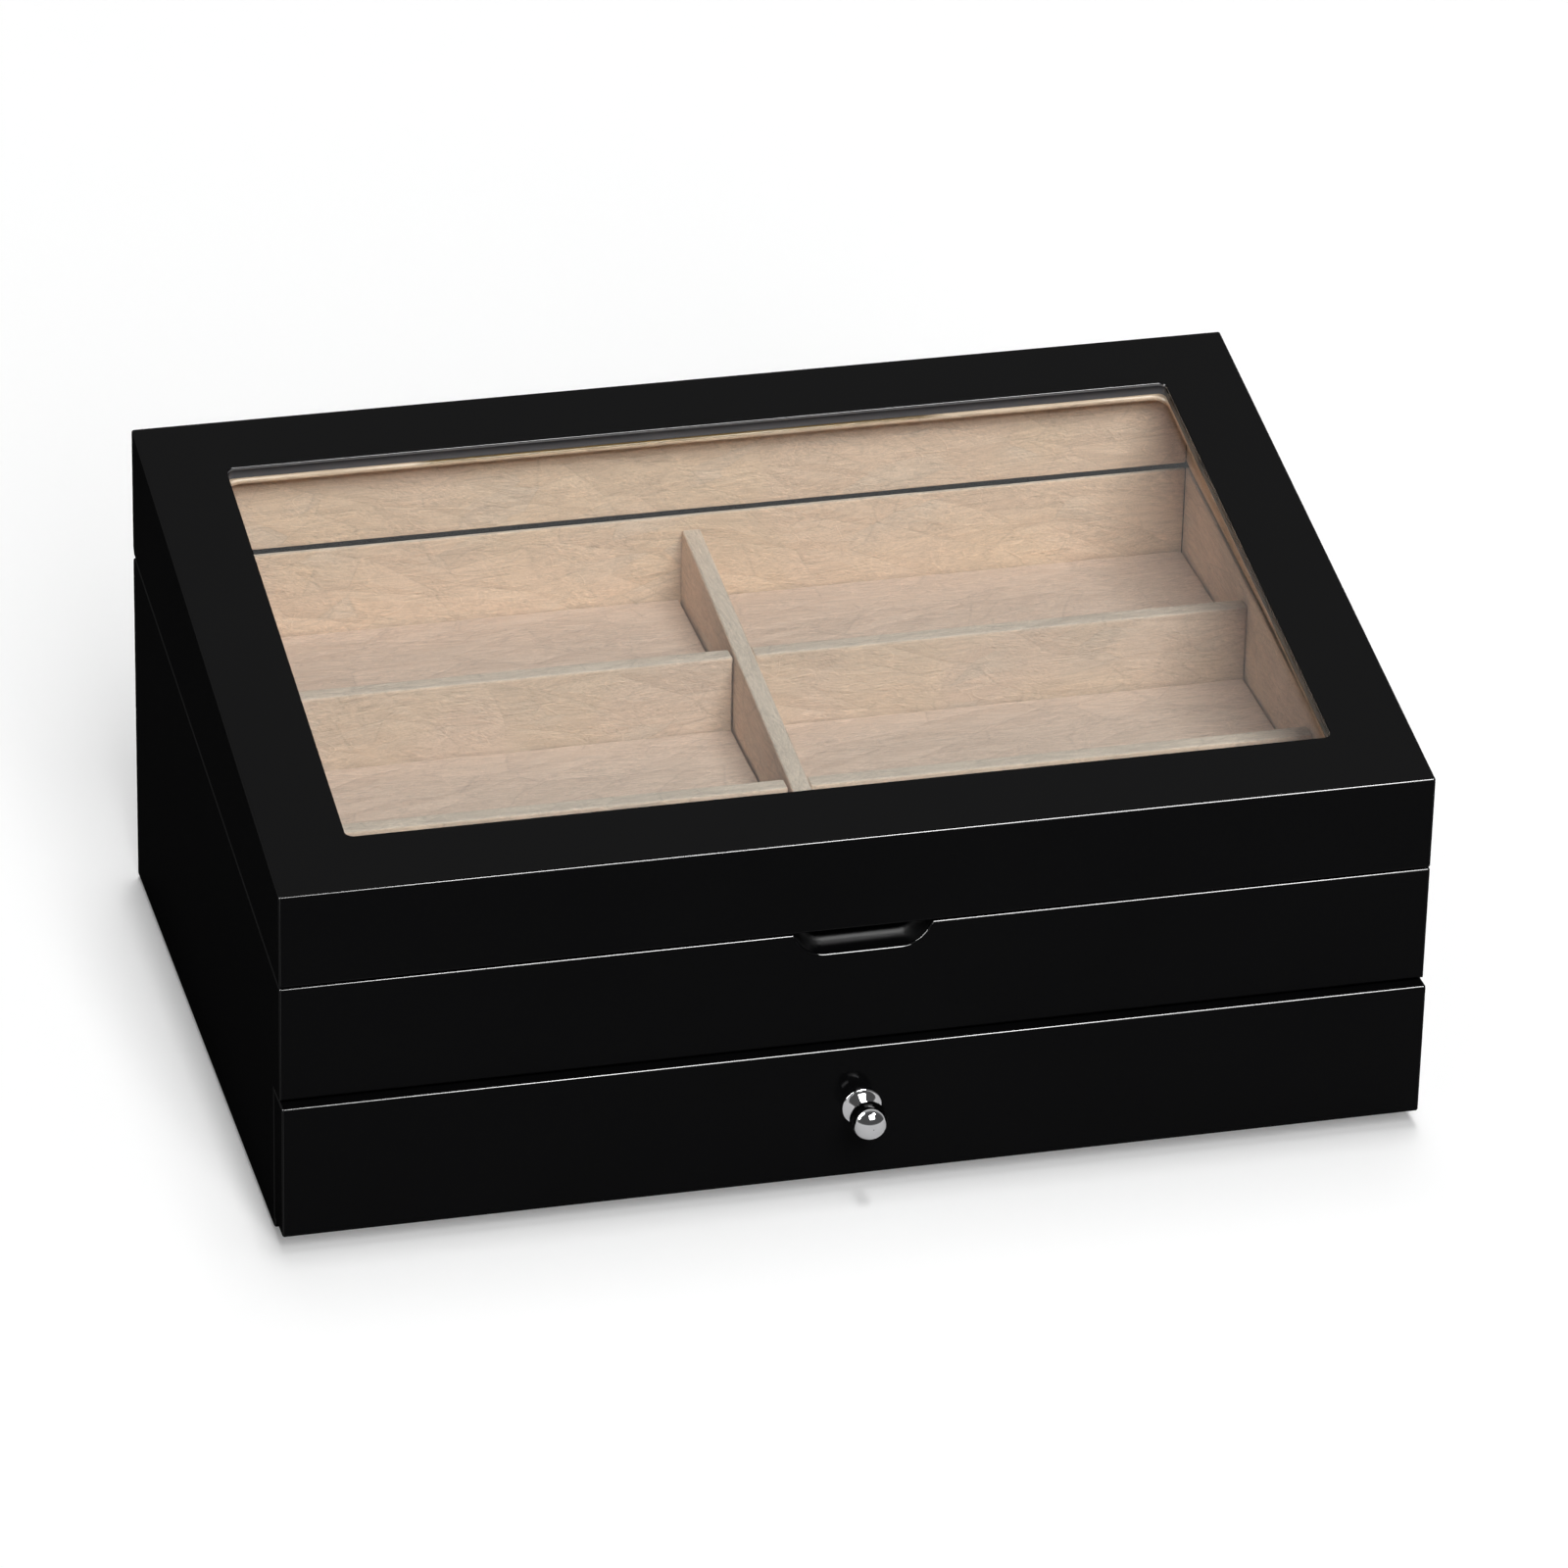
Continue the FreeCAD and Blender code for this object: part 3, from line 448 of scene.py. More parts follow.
def lacquer_material(name, edges, walls=None, hazy_past=None):
    """Deep black that shines most on rounded edges, with a painted reflection on the walls round a
    window, lighter further down, and a painted highlight at their top rim.

    Past a depth in y, as in the finger notch, the coat is hazy."""
    material, tree, shader = new_material(name)
    place = object_millimetres(tree)
    normal = add(tree, "ShaderNodeTexCoord").outputs["Normal"]
    edge = use_group(tree, edges, {"Normal": normal})["Edge"]
    cloud = noise(tree, place, 45.0, 3.0)
    colour = blend_colour(tree, cloud, LACQUER_BLACK, LACQUER_SOFT_BLACK)
    facing = add(tree, "ShaderNodeLayerWeight", {"Blend": 0.5}).outputs["Facing"]
    weight = remap(tree, facing, 0.10, 0.40, 0.035, 0.125)
    weight = calc(tree, "MULTIPLY", weight, remap(tree, facing, 0.42, 0.75, 1.0, 0.04))
    lit_edge = calc(tree, "MULTIPLY", edge, remap(tree, facing, 0.10, 0.24, 1.0, 0.03))
    weight = calc(tree, "MAXIMUM", weight, lit_edge)
    if walls:
        frame_walls = {"Vector": place, "Normal": normal, **window_wall_sizes()}
        out = use_group(tree, walls, frame_walls)
        # Painted reflection down the window's walls, and a painted highlight along their top rim
        wall_painted_reflection = blend_colour(tree, out["Down"], WINDOW_WALL_PAINTED_REFLECTION_DARK, WINDOW_WALL_PAINTED_REFLECTION_LIGHT)
        rim_painted_highlight = remap(tree, out["Down"], 0.0, 0.12, 1.0, 0.0)
        wall_painted_reflection = blend_colour(tree, rim_painted_highlight, wall_painted_reflection, WINDOW_RIM_PAINTED_HIGHLIGHT)
        colour = blend_colour(tree, out["Wall"], colour, wall_painted_reflection)
        weight = calc(tree, "MAXIMUM", weight, calc(tree, "MULTIPLY", out["Wall"], 0.5))
    rough = remap(tree, noise(tree, place, 6.0, 4.0), 0.3, 0.7, 0.30, 0.42)
    ripple = noise(tree, place, 9.0, 2.0)
    lacquer_coat(tree, shader, colour, weight, rough, ripple, 0.10)
    if hazy_past is not None:
        hazy = add(tree, "ShaderNodeBsdfPrincipled")
        lacquer_coat(tree, hazy.inputs, colour, edge, rough, ripple, 0.36)
        depth = add(tree, "ShaderNodeSeparateXYZ", {0: place}).outputs[1]
        deep = calc(tree, "GREATER_THAN", depth, hazy_past)
        glossy = tree.nodes["Principled BSDF"]
        both = add(tree, "ShaderNodeMixShader", {0: deep, 1: glossy.outputs[0], 2: hazy.outputs[0]})
        tree.links.new(both.outputs[0], tree.nodes["Material Output"].inputs["Surface"])
    return material


def lacquer_coat(tree, shader, colour, weight, rough, ripple, coat_roughness):
    tree.links.new(colour, shader["Base Color"])
    tree.links.new(weight, shader["Coat Weight"])
    tree.links.new(rough, shader["Roughness"])
    shader["Specular IOR Level"].default_value = 0.0
    shader["Coat Roughness"].default_value = coat_roughness
    shader["Coat IOR"].default_value = 1.5
    raise_surface(tree, shader, ripple, 0.003, 0.3)


def window_wall_sizes():
    """What the window walls' group needs to know of the lid's top board."""
    points = corners("lid_top_frame")
    _, front_high, _, back_high, depth = slant("lid_top_frame")
    up = Vector((0.0, front_high - back_high, depth)).normalized()
    along = Vector((0.0, up.z, -up.y))
    heights = points @ np.array(up)
    sides = np.abs(points[:, 0])
    top = float(heights.max())
    glass_top = float((corners("glass_pane") @ np.array(up)).max())
    past = 0.3
    within = 0.9 * sides.max()
    on_wall = (heights < top - past) & (heights > glass_top + past) & (sides < within)
    places = (points @ np.array(along))[on_wall]
    return {
        "Up": tuple(up),
        "Along": tuple(along),
        "Half Width": float(sides[on_wall].max()) + past,
        "Start": float(places.min()) - past,
        "End": float(places.max()) + past,
        "Top": top,
        "Depth": top - glass_top,
    }


# Boards inside the box


def board_material(name, dark, light, grain_along):
    """Stained board with a fine grain along one axis."""
    material, tree, shader = new_material(name)
    place = object_millimetres(tree)
    if grain_along == "Y":
        place = quarter_turned(tree, place)
    grain = noise(tree, stretched(tree, place, 45.0, 1.2), 1.0, 5.0, 0.6)
    pores = noise(tree, stretched(tree, place, 6.0, 0.35), 1.0, 2.0)
    share = calc(tree, "MULTIPLY_ADD", pores, 0.35, calc(tree, "MULTIPLY", grain, 0.65))
    tree.links.new(blend_colour(tree, share, dark, light), shader["Base Color"])
    tree.links.new(remap(tree, share, 0.3, 0.7, 0.75, 0.55), shader["Roughness"])
    shader["Specular IOR Level"].default_value = 0.3
    raise_surface(tree, shader, share, 0.08, 0.6)
    return material


def felt_material():
    material, tree, shader = new_material("base_felt")
    place = object_millimetres(tree)
    tufts = noise(tree, place, 1.6, 4.0, 0.7)
    matted = noise(tree, place, 14.0, 2.0)
    share = calc(tree, "MULTIPLY_ADD", matted, 0.4, calc(tree, "MULTIPLY", tufts, 0.6))
    colour = blend_colour(tree, share, (0.006, 0.006, 0.007, 1), (0.030, 0.030, 0.033, 1))
    tree.links.new(colour, shader["Base Color"])
    tree.links.new(remap(tree, tufts, 0.2, 0.8, 1.0, 0.85), shader["Roughness"])
    shader["Sheen Weight"].default_value = 0.3
    raise_surface(tree, shader, tufts, 0.35, 0.9)
    return material


def raw_card_material():
    """The frame's face against the glass: cloth in places, and amber glue in others."""
    material, tree, shader = new_material("glued_card")
    place = object_millimetres(tree)
    blots = noise(tree, stretched(tree, place, 3.0, 1.0), 9.0, 3.0)
    glue = blend_colour(tree, blots, (0.20, 0.11, 0.015, 1), (0.08, 0.045, 0.008, 1))
    stained = remap(tree, noise(tree, place, 75.0, 0.0), 0.44, 0.52)
    colour = blend_colour(tree, stained, LINING_COLOURS[0], glue)
    tree.links.new(colour, shader["Base Color"])
    tree.links.new(remap(tree, blots, 0.3, 0.7, 0.35, 0.7), shader["Roughness"])
    raise_surface(tree, shader, noise(tree, place, 0.8, 2.0), 0.05, 0.5)
    return material


# Metal and glass


def metal_material(name, colour, roughness, spread, streak_length, streak_width):
    """Plated or brushed metal: streaks and faint smudges vary its gloss."""
    material, tree, shader = new_material(name)
    place = object_millimetres(tree)
    streaks = noise(tree, stretched(tree, place, streak_length, streak_width), 1.0, 3.0)
    smudges = noise(tree, place, 3.0, 2.0)
    dull = tuple(0.88 * part for part in colour[:3]) + (1,)
    tree.links.new(blend_colour(tree, smudges, colour, dull), shader["Base Color"])
    shader["Metallic"].default_value = 1.0
    share = calc(tree, "MULTIPLY_ADD", smudges, 0.4, calc(tree, "MULTIPLY", streaks, 0.6))
    rough = remap(tree, share, 0.25, 0.75, roughness, roughness + spread)
    tree.links.new(rough, shader["Roughness"])
    raise_surface(tree, shader, streaks, 0.01, 0.3)
    return material


def glass_material():
    """Clear glass that lets the lamps light what is behind it."""
    material, tree, shader = new_material("window_glass")
    place = object_millimetres(tree)
    wipes = noise(tree, stretched(tree, place, 60.0, 12.0, 20.0), 1.0, 3.0)
    tint = blend_colour(tree, wipes, (0.985, 0.995, 0.99, 1), (0.965, 0.98, 0.975, 1))
    tree.links.new(tint, shader["Base Color"])
    tree.links.new(remap(tree, wipes, 0.55, 0.8, 0.0, 0.012), shader["Roughness"])
    shader["IOR"].default_value = 1.5
    shader["Specular Tint"].default_value = (0.05, 0.05, 0.05, 1)
    shader["Transmission Weight"].default_value = 1.0
    raise_surface(tree, shader, noise(tree, place, 55.0), 0.01, 0.1)
    clear = add(tree, "ShaderNodeBsdfTransparent", {"Color": (0.95, 0.96, 0.955, 1)})
    path = add(tree, "ShaderNodeLightPath").outputs
    through = calc(tree, "MAXIMUM", path["Is Shadow Ray"], path["Is Diffuse Ray"])
    output = tree.nodes["Material Output"]
    glass = tree.nodes["Principled BSDF"]
    inputs = {0: through, 1: glass.outputs[0], 2: clear.outputs[0]}
    pane = add(tree, "ShaderNodeMixShader", inputs)
    tree.links.new(pane.outputs[0], output.inputs["Surface"])
    return material


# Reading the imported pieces


def corners(node):
    """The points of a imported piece, in millimetres."""
    mesh = NODES[node].data
    points = np.empty(len(mesh.vertices) * 3)
    mesh.vertices.foreach_get("co", points)
    return points.reshape(-1, 3) / MM


def slant(node):
    """Lower and upper heights of a board at its front end and its back end, and its depth."""
    points = corners(node)
    front, back = points[:, 1].min(), points[:, 1].max()
    near = 0.15 * (back - front)
    heights = []
    for start in (front, back):
        level = points[abs(points[:, 1] - start) < near]
        rows = np.round(level[:, 1], 2)
        end = rows.min() if start == front else rows.max()
        heights += [level[rows == end][:, 2].min(), level[rows == end][:, 2].max()]
    return (*heights, back - front)


# The rule that every covered board follows, as a tree with named sizes


def edge_spacing_group():
    """Turns even steps into places that crowd into the rounded edges of a board."""
    tree, given, made = group_tree(
        "edge_spacing",
        "GeometryNodeTree",
        [
            ("Even Place", "NodeSocketFloat", 0.0),
            ("Lines", "NodeSocketFloat", 8.0),
            ("Half Size", "NodeSocketFloat", 1.0),
            ("Edge Radius", "NodeSocketFloat", 1.0),
        ],
        [("Place", "NodeSocketFloat")],
    )
    last = calc(tree, "SUBTRACT", given["Lines"], 1.0)
    share = calc(tree, "MULTIPLY_ADD", given["Even Place"], 0.5, 0.5)
    index = calc(tree, "ROUND", calc(tree, "MULTIPLY", share, last))
    from_end = calc(tree, "MINIMUM", index, calc(tree, "SUBTRACT", last, index))
    rings = float(EDGE_RINGS)
    flat_half = calc(tree, "SUBTRACT", given["Half Size"], given["Edge Radius"])
    angle = calc(tree, "MULTIPLY", calc(tree, "SUBTRACT", rings, from_end), EDGE_ANGLE)
    reach = calc(tree, "MULTIPLY_ADD", calc(tree, "TANGENT", angle), given["Edge Radius"], flat_half)
    rounded = calc(tree, "MULTIPLY", calc(tree, "SIGN", given["Even Place"]), reach)
    steps = calc(tree, "SUBTRACT", last, 2 * rings)
    along = calc(tree, "DIVIDE", calc(tree, "SUBTRACT", index, rings), steps)
    along = calc(tree, "MULTIPLY_ADD", along, 2.0, -1.0)
    even = calc(tree, "MULTIPLY", along, flat_half)
    in_ring = calc(tree, "LESS_THAN", from_end, rings)
    picked = add(tree, "ShaderNodeMix", {0: in_ring, 2: even, 3: rounded})
    tree.links.new(picked.outputs[0], made["Place"])
    return tree


def covered_board_tree():
    """A board wrapped in cloth: rounded edges, a sloping top or foot, and a soft relief."""
    tree, given, made = group_tree(
        "covered_board",
        "GeometryNodeTree",
        [
            ("Geometry", "NodeSocketGeometry", None),
            ("Low Corner", "NodeSocketVector", None),
            ("High Corner", "NodeSocketVector", None),
            ("Front Low", "NodeSocketFloat", 0.0),
            ("Front High", "NodeSocketFloat", 0.0),
            ("Back Low", "NodeSocketFloat", 0.0),
            ("Back High", "NodeSocketFloat", 0.0),
            ("Edge Radius", "NodeSocketFloat", 0.5),
            ("Step", "NodeSocketFloat", 1.0),
            ("Relief", "NodeSocketFloat", 0.0),
            ("Relief Frequency", "NodeSocketVector", None),
            ("Material", "NodeSocketMaterial", None),
        ],
        [("Geometry", "NodeSocketGeometry")],
    )
    spacing = edge_spacing_group()
    size = vector_calc(tree, "SUBTRACT", given["High Corner"], given["Low Corner"])
    half = scaled(tree, size, 0.5)
    middle = vector_calc(tree, "ADD", given["Low Corner"], half)
    sizes = add(tree, "ShaderNodeSeparateXYZ", {0: size}).outputs
    halves = add(tree, "ShaderNodeSeparateXYZ", {0: half}).outputs
    lines = []
    for axis in range(3):
        steps = calc(tree, "ROUND", calc(tree, "DIVIDE", sizes[axis], given["Step"]))
        lines.append(calc(tree, "MAXIMUM", calc(tree, "ADD", steps, 7.0), 8.0))
    cube_inputs = {"Size": (2.0, 2.0, 2.0)}
    cube_inputs.update(zip(("Vertices X", "Vertices Y", "Vertices Z"), lines))
    cube = add(tree, "GeometryNodeMeshCube", cube_inputs)
    even = add(tree, "ShaderNodeSeparateXYZ", {0: add(tree, "GeometryNodeInputPosition").outputs[0]})
    places = []
    for axis in range(3):
        inputs = {0: even.outputs[axis], 1: lines[axis], 2: halves[axis], 3: given["Edge Radius"]}
        places.append(add(tree, "GeometryNodeGroup", inputs, node_tree=spacing).outputs[0])
    outer = add(tree, "ShaderNodeCombineXYZ", dict(enumerate(places))).outputs[0]
    radius = given["Edge Radius"]
    radii = add(tree, "ShaderNodeCombineXYZ", {0: radius, 1: radius, 2: radius}).outputs[0]
    flat_half = vector_calc(tree, "SUBTRACT", half, radii)
    inner = vector_calc(tree, "MINIMUM", outer, flat_half)
    inner = vector_calc(tree, "MAXIMUM", inner, scaled(tree, flat_half, -1.0))
    away = vector_calc(tree, "NORMALIZE", vector_calc(tree, "SUBTRACT", outer, inner))
    rounded = vector_calc(tree, "ADD", inner, scaled(tree, away, radius))
    parts = add(tree, "ShaderNodeSeparateXYZ", {0: rounded}).outputs
    back_share = calc(tree, "MULTIPLY_ADD", calc(tree, "DIVIDE", parts[1], halves[1]), 0.5, 0.5)
    up_share = calc(tree, "MULTIPLY_ADD", calc(tree, "DIVIDE", parts[2], halves[2]), 0.5, 0.5)
    low = blend_value(tree, back_share, given["Front Low"], given["Back Low"])
    high = blend_value(tree, back_share, given["Front High"], given["Back High"])
    height = blend_value(tree, up_share, low, high)
    middles = add(tree, "ShaderNodeSeparateXYZ", {0: middle}).outputs
    placed = {
        0: calc(tree, "ADD", parts[0], middles[0]),
        1: calc(tree, "ADD", parts[1], middles[1]),
        2: height,
    }
    position = add(tree, "ShaderNodeCombineXYZ", placed).outputs[0]
    shaped = add(tree, "GeometryNodeSetPosition", {"Geometry": cube.outputs[0], "Position": position})
    here = add(tree, "GeometryNodeInputPosition").outputs[0]
    waves = vector_calc(tree, "MULTIPLY", here, given["Relief Frequency"])
    field = add(tree, "ShaderNodeTexNoise", {"Vector": waves, "Scale": 1.0, "Detail": 3.0})
    swell = calc(tree, "MULTIPLY_ADD", field.outputs["Fac"], 2.0, -1.0)
    swell = calc(tree, "MULTIPLY", swell, given["Relief"])
    normal = add(tree, "GeometryNodeInputNormal").outputs[0]
    push = {"Geometry": shaped.outputs[0], "Offset": scaled(tree, normal, swell)}
    pushed = add(tree, "GeometryNodeSetPosition", push)
    metres = {"Geometry": pushed.outputs[0], "Scale": (MM, MM, MM)}
    sized = add(tree, "GeometryNodeTransform", metres)
    smooth = add(tree, "GeometryNodeSetShadeSmooth", {"Geometry": sized.outputs[0]})
    finished = {"Geometry": smooth.outputs[0], "Material": given["Material"]}
    dressed = add(tree, "GeometryNodeSetMaterial", finished)
    single = add(tree, "GeometryNodeRealizeInstances", {"Geometry": dressed.outputs[0]})
    tree.links.new(single.outputs[0], made["Geometry"])
    return tree


def set_tree_inputs(modifier, values):
    for item in modifier.node_group.interface.items_tree:
        if item.item_type == "SOCKET" and item.in_out == "INPUT" and item.name in values:
            modifier[item.identifier] = values[item.name]


def as_plain_mesh(host, name):
    """The mesh that an object's modifiers make, as an object of its own."""
    shown = host.evaluated_get(bpy.context.evaluated_depsgraph_get())
    mesh = bpy.data.meshes.new_from_object(shown)
    piece = bpy.data.objects.new(name, mesh)
    bpy.context.scene.collection.objects.link(piece)
    return piece


def temporary_object(name, mesh):
    host = bpy.data.objects.new(name, mesh)
    bpy.context.scene.collection.objects.link(host)
    return host


def cutter(low, high):
    """A block to cut a slot with."""
    (x0, y0, z0), (x1, y1, z1) = low, high
    points = [(x, y, z) for x in (x0, x1) for y in (y0, y1) for z in (z0, z1)]
    faces = [(0, 1, 3, 2), (4, 6, 7, 5), (0, 4, 5, 1), (2, 3, 7, 6), (0, 2, 6, 4), (1, 5, 7, 3)]
    mesh = bpy.data.meshes.new("slot_block")
    mesh.from_pydata([tuple(MM * c for c in point) for point in points], [], faces)
    return temporary_object("slot_block", mesh)


def joint_gaps(node, crosswise):
    if "floor" in node:
        return np.array(FLOOR_GAPS)
    return np.array(CROSSWISE_GAPS if crosswise else LENGTHWISE_GAPS)


def covered_board(board_tree, node, body, slot, material, crosswise, radius, slots=()):
    """A wrapped board in the place of a packed one."""
    points = corners(node)
    felt = slot == "base_felt"
    gaps = 0.0 if felt else joint_gaps(node, crosswise)
    low, high = points.min(0) + gaps, points.max(0) - gaps
    front_low, front_high, back_low, back_high, _ = slant(node)
    long_way, short_way = 1 / SUEDE_RELIEF_LENGTH, 1 / SUEDE_RELIEF_WIDTH
    waves = (long_way, short_way, short_way) if crosswise else (short_way, long_way, short_way)
    host = temporary_object("host", bpy.data.meshes.new("host"))
    modifier = host.modifiers.new("board", "NODES")
    modifier.node_group = board_tree
    values = {
        "Low Corner": tuple(low),
        "High Corner": tuple(high),
        "Front Low": front_low,
        "Front High": front_high,
        "Back Low": back_low,
        "Back High": back_high,
        "Edge Radius": min(radius, 0.48 * float((high - low).min())),
        "Step": FELT_STEP if felt else SUEDE_STEP,
        "Relief": FELT_RELIEF if felt else SUEDE_RELIEF,
        "Relief Frequency": waves,
        "Material": material,
    }
    set_tree_inputs(modifier, values)
    blocks = []
    for slot_low, slot_high in slots:
        block = cutter(slot_low, slot_high)
        cut = host.modifiers.new("slot", "BOOLEAN")
        cut.object = block
        cut.operation = "DIFFERENCE"
        cut.solver = "EXACT"
        blocks.append(block)
    piece = as_plain_mesh(host, node + "_covered")
    for temporary in [host, *blocks]:
        bpy.data.objects.remove(temporary)
    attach(piece, body)
    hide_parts(node)


# The frame under the glass, swept round its rounded opening


def opening_path(half_width, half_length, corner, steps):
    """Points round a rounded rectangle, with the direction out of it at each."""
    path = []
    for quarter in range(4):
        start = quarter * math.pi / 2
        middle = start + math.pi / 4
        centre_x = math.copysign(half_width - corner, math.cos(middle))
        centre_y = math.copysign(half_length - corner, math.sin(middle))
        for step in range(steps + 1):
            angle = start + step * math.pi / 2 / steps
            out = (math.cos(angle), math.sin(angle))
            path.append((centre_x + corner * out[0], centre_y + corner * out[1], *out))
    return path


def fill_in(path, longest):
    """The same path with points added on its straight stretches."""
    filled = []
    for here, after in zip(path, path[1:] + path[:1]):
        count = max(1, math.ceil(math.dist(here[:2], after[:2]) / longest))
        for step in range(count):
            share = step / count
            filled.append([a + (b - a) * share for a, b in zip(here, after)])
    return filled


def frame_section(thickness, radius):
    """Round the frame's section from its outer foot, as (is flat, away, height).

    Away is a share of the flat part's width, or a distance from the opening on the roll."""
    flats = FRAME_FLATS
    section = [(True, 1 - step / flats, 0.0) for step in range(flats)]
    for step in range(5):
        angle = math.pi / 2 * (1 + step / 4)
        section.append((False, radius + radius * math.cos(angle), radius - radius * math.sin(angle)))
    for step in range(5):
        angle = math.pi * (1 - step / 8)
        height = thickness - radius + radius * math.sin(angle)
        section.append((False, radius + radius * math.cos(angle), height))
    section += [(True, (step + 1) / flats, thickness) for step in range(flats)]
    return section


def frame_points(path, section, half_x, half_y):
    """The section set out round the opening, in the frame's own plane."""
    roll = 2 * FRAME_ROLL
    points = []
    for x, y, out_x, out_y in path:
        reach_x = (half_x - abs(x)) / max(abs(out_x), 1e-6)
        reach_y = (half_y - abs(y)) / max(abs(out_y), 1e-6)
        width = min(reach_x, reach_y)
        for flat, away, height in section:
            distance = roll + (width - roll) * away if flat else away
            points.append((x + distance * out_x, y + distance * out_y, height))
    return points


def retaining_frame(material, bare):
    """The wrapped card frame, with the side that lies against the glass left bare."""
    node = "glass_retaining_frame"
    points = corners(node)
    front_low, front_high, back_low, back_high, depth = slant(node)
    angle = math.atan2(back_high - front_high, depth)
    across, up = math.cos(angle), math.sin(angle)
    half_x = points[:, 0].max()
    half_y = points[:, 1].max() / across
    thickness = (front_high - front_low) * across
    middle_low = (front_low + back_low) / 2
    across_x = abs(points[:, 0])
    across_y = abs(points[:, 1] * across + (points[:, 2] - middle_low) * up)
    opening = (across_x < half_x - 0.1) & (across_y < half_y - 0.5)
    inner_x = across_x[opening].max()
    inner_y = across_y[opening].max()
    corner = inner_x - across_x[opening].min()
    path = opening_path(inner_x, inner_y, corner, FRAME_CORNER_STEPS)
    path = fill_in(path, FRAME_LONGEST_STEP)
    section = frame_section(thickness, FRAME_ROLL)
    placed = []
    for x, y, height in frame_points(path, section, half_x, half_y):
        placed.append((x, y * across - height * up, middle_low + y * up + height * across))
    count = len(section)
    loops = len(path)
    faces = []
    for ring in range(loops):
        here, after = ring * count, (ring + 1) % loops * count
        for step in range(count):
            beside = (step + 1) % count
            faces.append((here + step, here + beside, after + beside, after + step))
    mesh = bpy.data.meshes.new(node + "_covered")
    mesh.from_pydata([tuple(MM * c for c in point) for point in placed], [], faces)
    mesh.materials.append(material)
    mesh.materials.append(bare)
    first_bare = 2 * FRAME_FLATS + 1
    for polygon in mesh.polygons:
        polygon.use_smooth = True
        if first_bare <= polygon.index % count < count - 1:
            polygon.material_index = 1
    piece = temporary_object(node + "_covered", mesh)
    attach(piece, "lid")
    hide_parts(node)


# The covered pieces


def make_covered_pieces(suedes, felt, bare):
    tree = covered_board_tree()
    covered = "suede_covered_board"
    lining = "suede_lining"

    def board(node, body, slot, crosswise, radius, slots=()):
        material = suedes["across" if crosswise else "along"]
        if "floor" in node:
            material = suedes["floor"]
        elif crosswise and "divider" in node:
            material = suedes["divider"]
        covered_board(tree, node, body, slot, material, crosswise, radius, slots)

    for side in SIDES:
        board("body_lining_" + side, "carcass", lining, False, LINING_EDGE)
        board("lid_lining_" + side, "lid", lining, False, LINING_EDGE)
        board("drawer_lining_" + side, "drawer", lining, False, LINING_EDGE)
        for place in ("front", "rear"):
            board(f"tray_{side}_{place}_divider", "carcass", covered, True, DIVIDER_EDGE)
        for row in ROWS:
            board(f"tray_{side}_{row}_floor", "carcass", covered, True, FLOOR_EDGE)
    for end in ("front", "back"):
        board("body_lining_" + end, "carcass", lining, True, LINING_EDGE)
        board("lid_lining_" + end, "lid", lining, True, LINING_EDGE)
        board("drawer_lining_" + end, "drawer", lining, True, LINING_EDGE)
    board("tray_centre_divider", "carcass", covered, False, DIVIDER_EDGE)
    board("drawer_floor_pad", "drawer", lining, True, LINING_EDGE)
    make_slotted_dividers(board, covered)
    covered_board(tree, "base_felt", "carcass", "base_felt", felt, True, FELT_EDGE)
    retaining_frame(suedes["across"], bare)


def make_slotted_dividers(board, slot):
    """The drawer's long slat and its two cross slats, halved into one another."""
    long_box = corners("drawer_centre_divider")
    low, high = long_box.min(0), long_box.max(0)
    middle = (low[2] + high[2]) / 2
    room = 0.2
    past = 2.0
    long_slots = []
    for place in ("front", "rear"):
        name = f"drawer_{place}_divider"
        points = corners(name)
        start, end = points[:, 1].min(), points[:, 1].max()
        slot_low = (low[0] - past, start - room, low[2] - past)
        long_slots.append((slot_low, (high[0] + past, end + room, middle)))
        slot_high = (high[0] + room, end + past, high[2] + past)
        cross_slot = ((low[0] - room, start - past, middle), slot_high)
        board(name, "drawer", slot, True, DIVIDER_EDGE, [cross_slot])
    board("drawer_centre_divider", "drawer", slot, False, DIVIDER_EDGE, long_slots)


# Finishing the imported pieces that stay


def smooth_tree():
    """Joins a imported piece's triangles and shades its rounded edges smooth."""
    tree, given, made = group_tree(
        "smooth_rounded_edges",
        "GeometryNodeTree",
        [("Geometry", "NodeSocketGeometry", None), ("Sharp Angle", "NodeSocketFloat", 0.6)],
        [("Geometry", "NodeSocketGeometry")],
    )
    joined = add(tree, "GeometryNodeMergeByDistance", {"Geometry": given["Geometry"], "Distance": 1e-6})
    faces = add(tree, "GeometryNodeSetShadeSmooth", {"Geometry": joined.outputs[0]})
    angle = add(tree, "GeometryNodeInputMeshEdgeAngle").outputs["Unsigned Angle"]
    sharp = calc(tree, "GREATER_THAN", angle, given["Sharp Angle"])
    inputs = {"Geometry": faces.outputs[0], "Selection": sharp, "Shade Smooth": False}
    edges = add(tree, "GeometryNodeSetShadeSmooth", inputs, domain="EDGE")
    tree.links.new(edges.outputs[0], made["Geometry"])
    return tree


def finish_packed(names, material, tree):
    for name in names:
        piece = NODES[name]
        piece.data.materials.clear()
        piece.data.materials.append(material)
        modifier = piece.modifiers.new("smooth", "NODES")
        modifier.node_group = tree
        weighted = piece.modifiers.new("even", "WEIGHTED_NORMAL")
        weighted.keep_sharp = True
        weighted.weight = 100


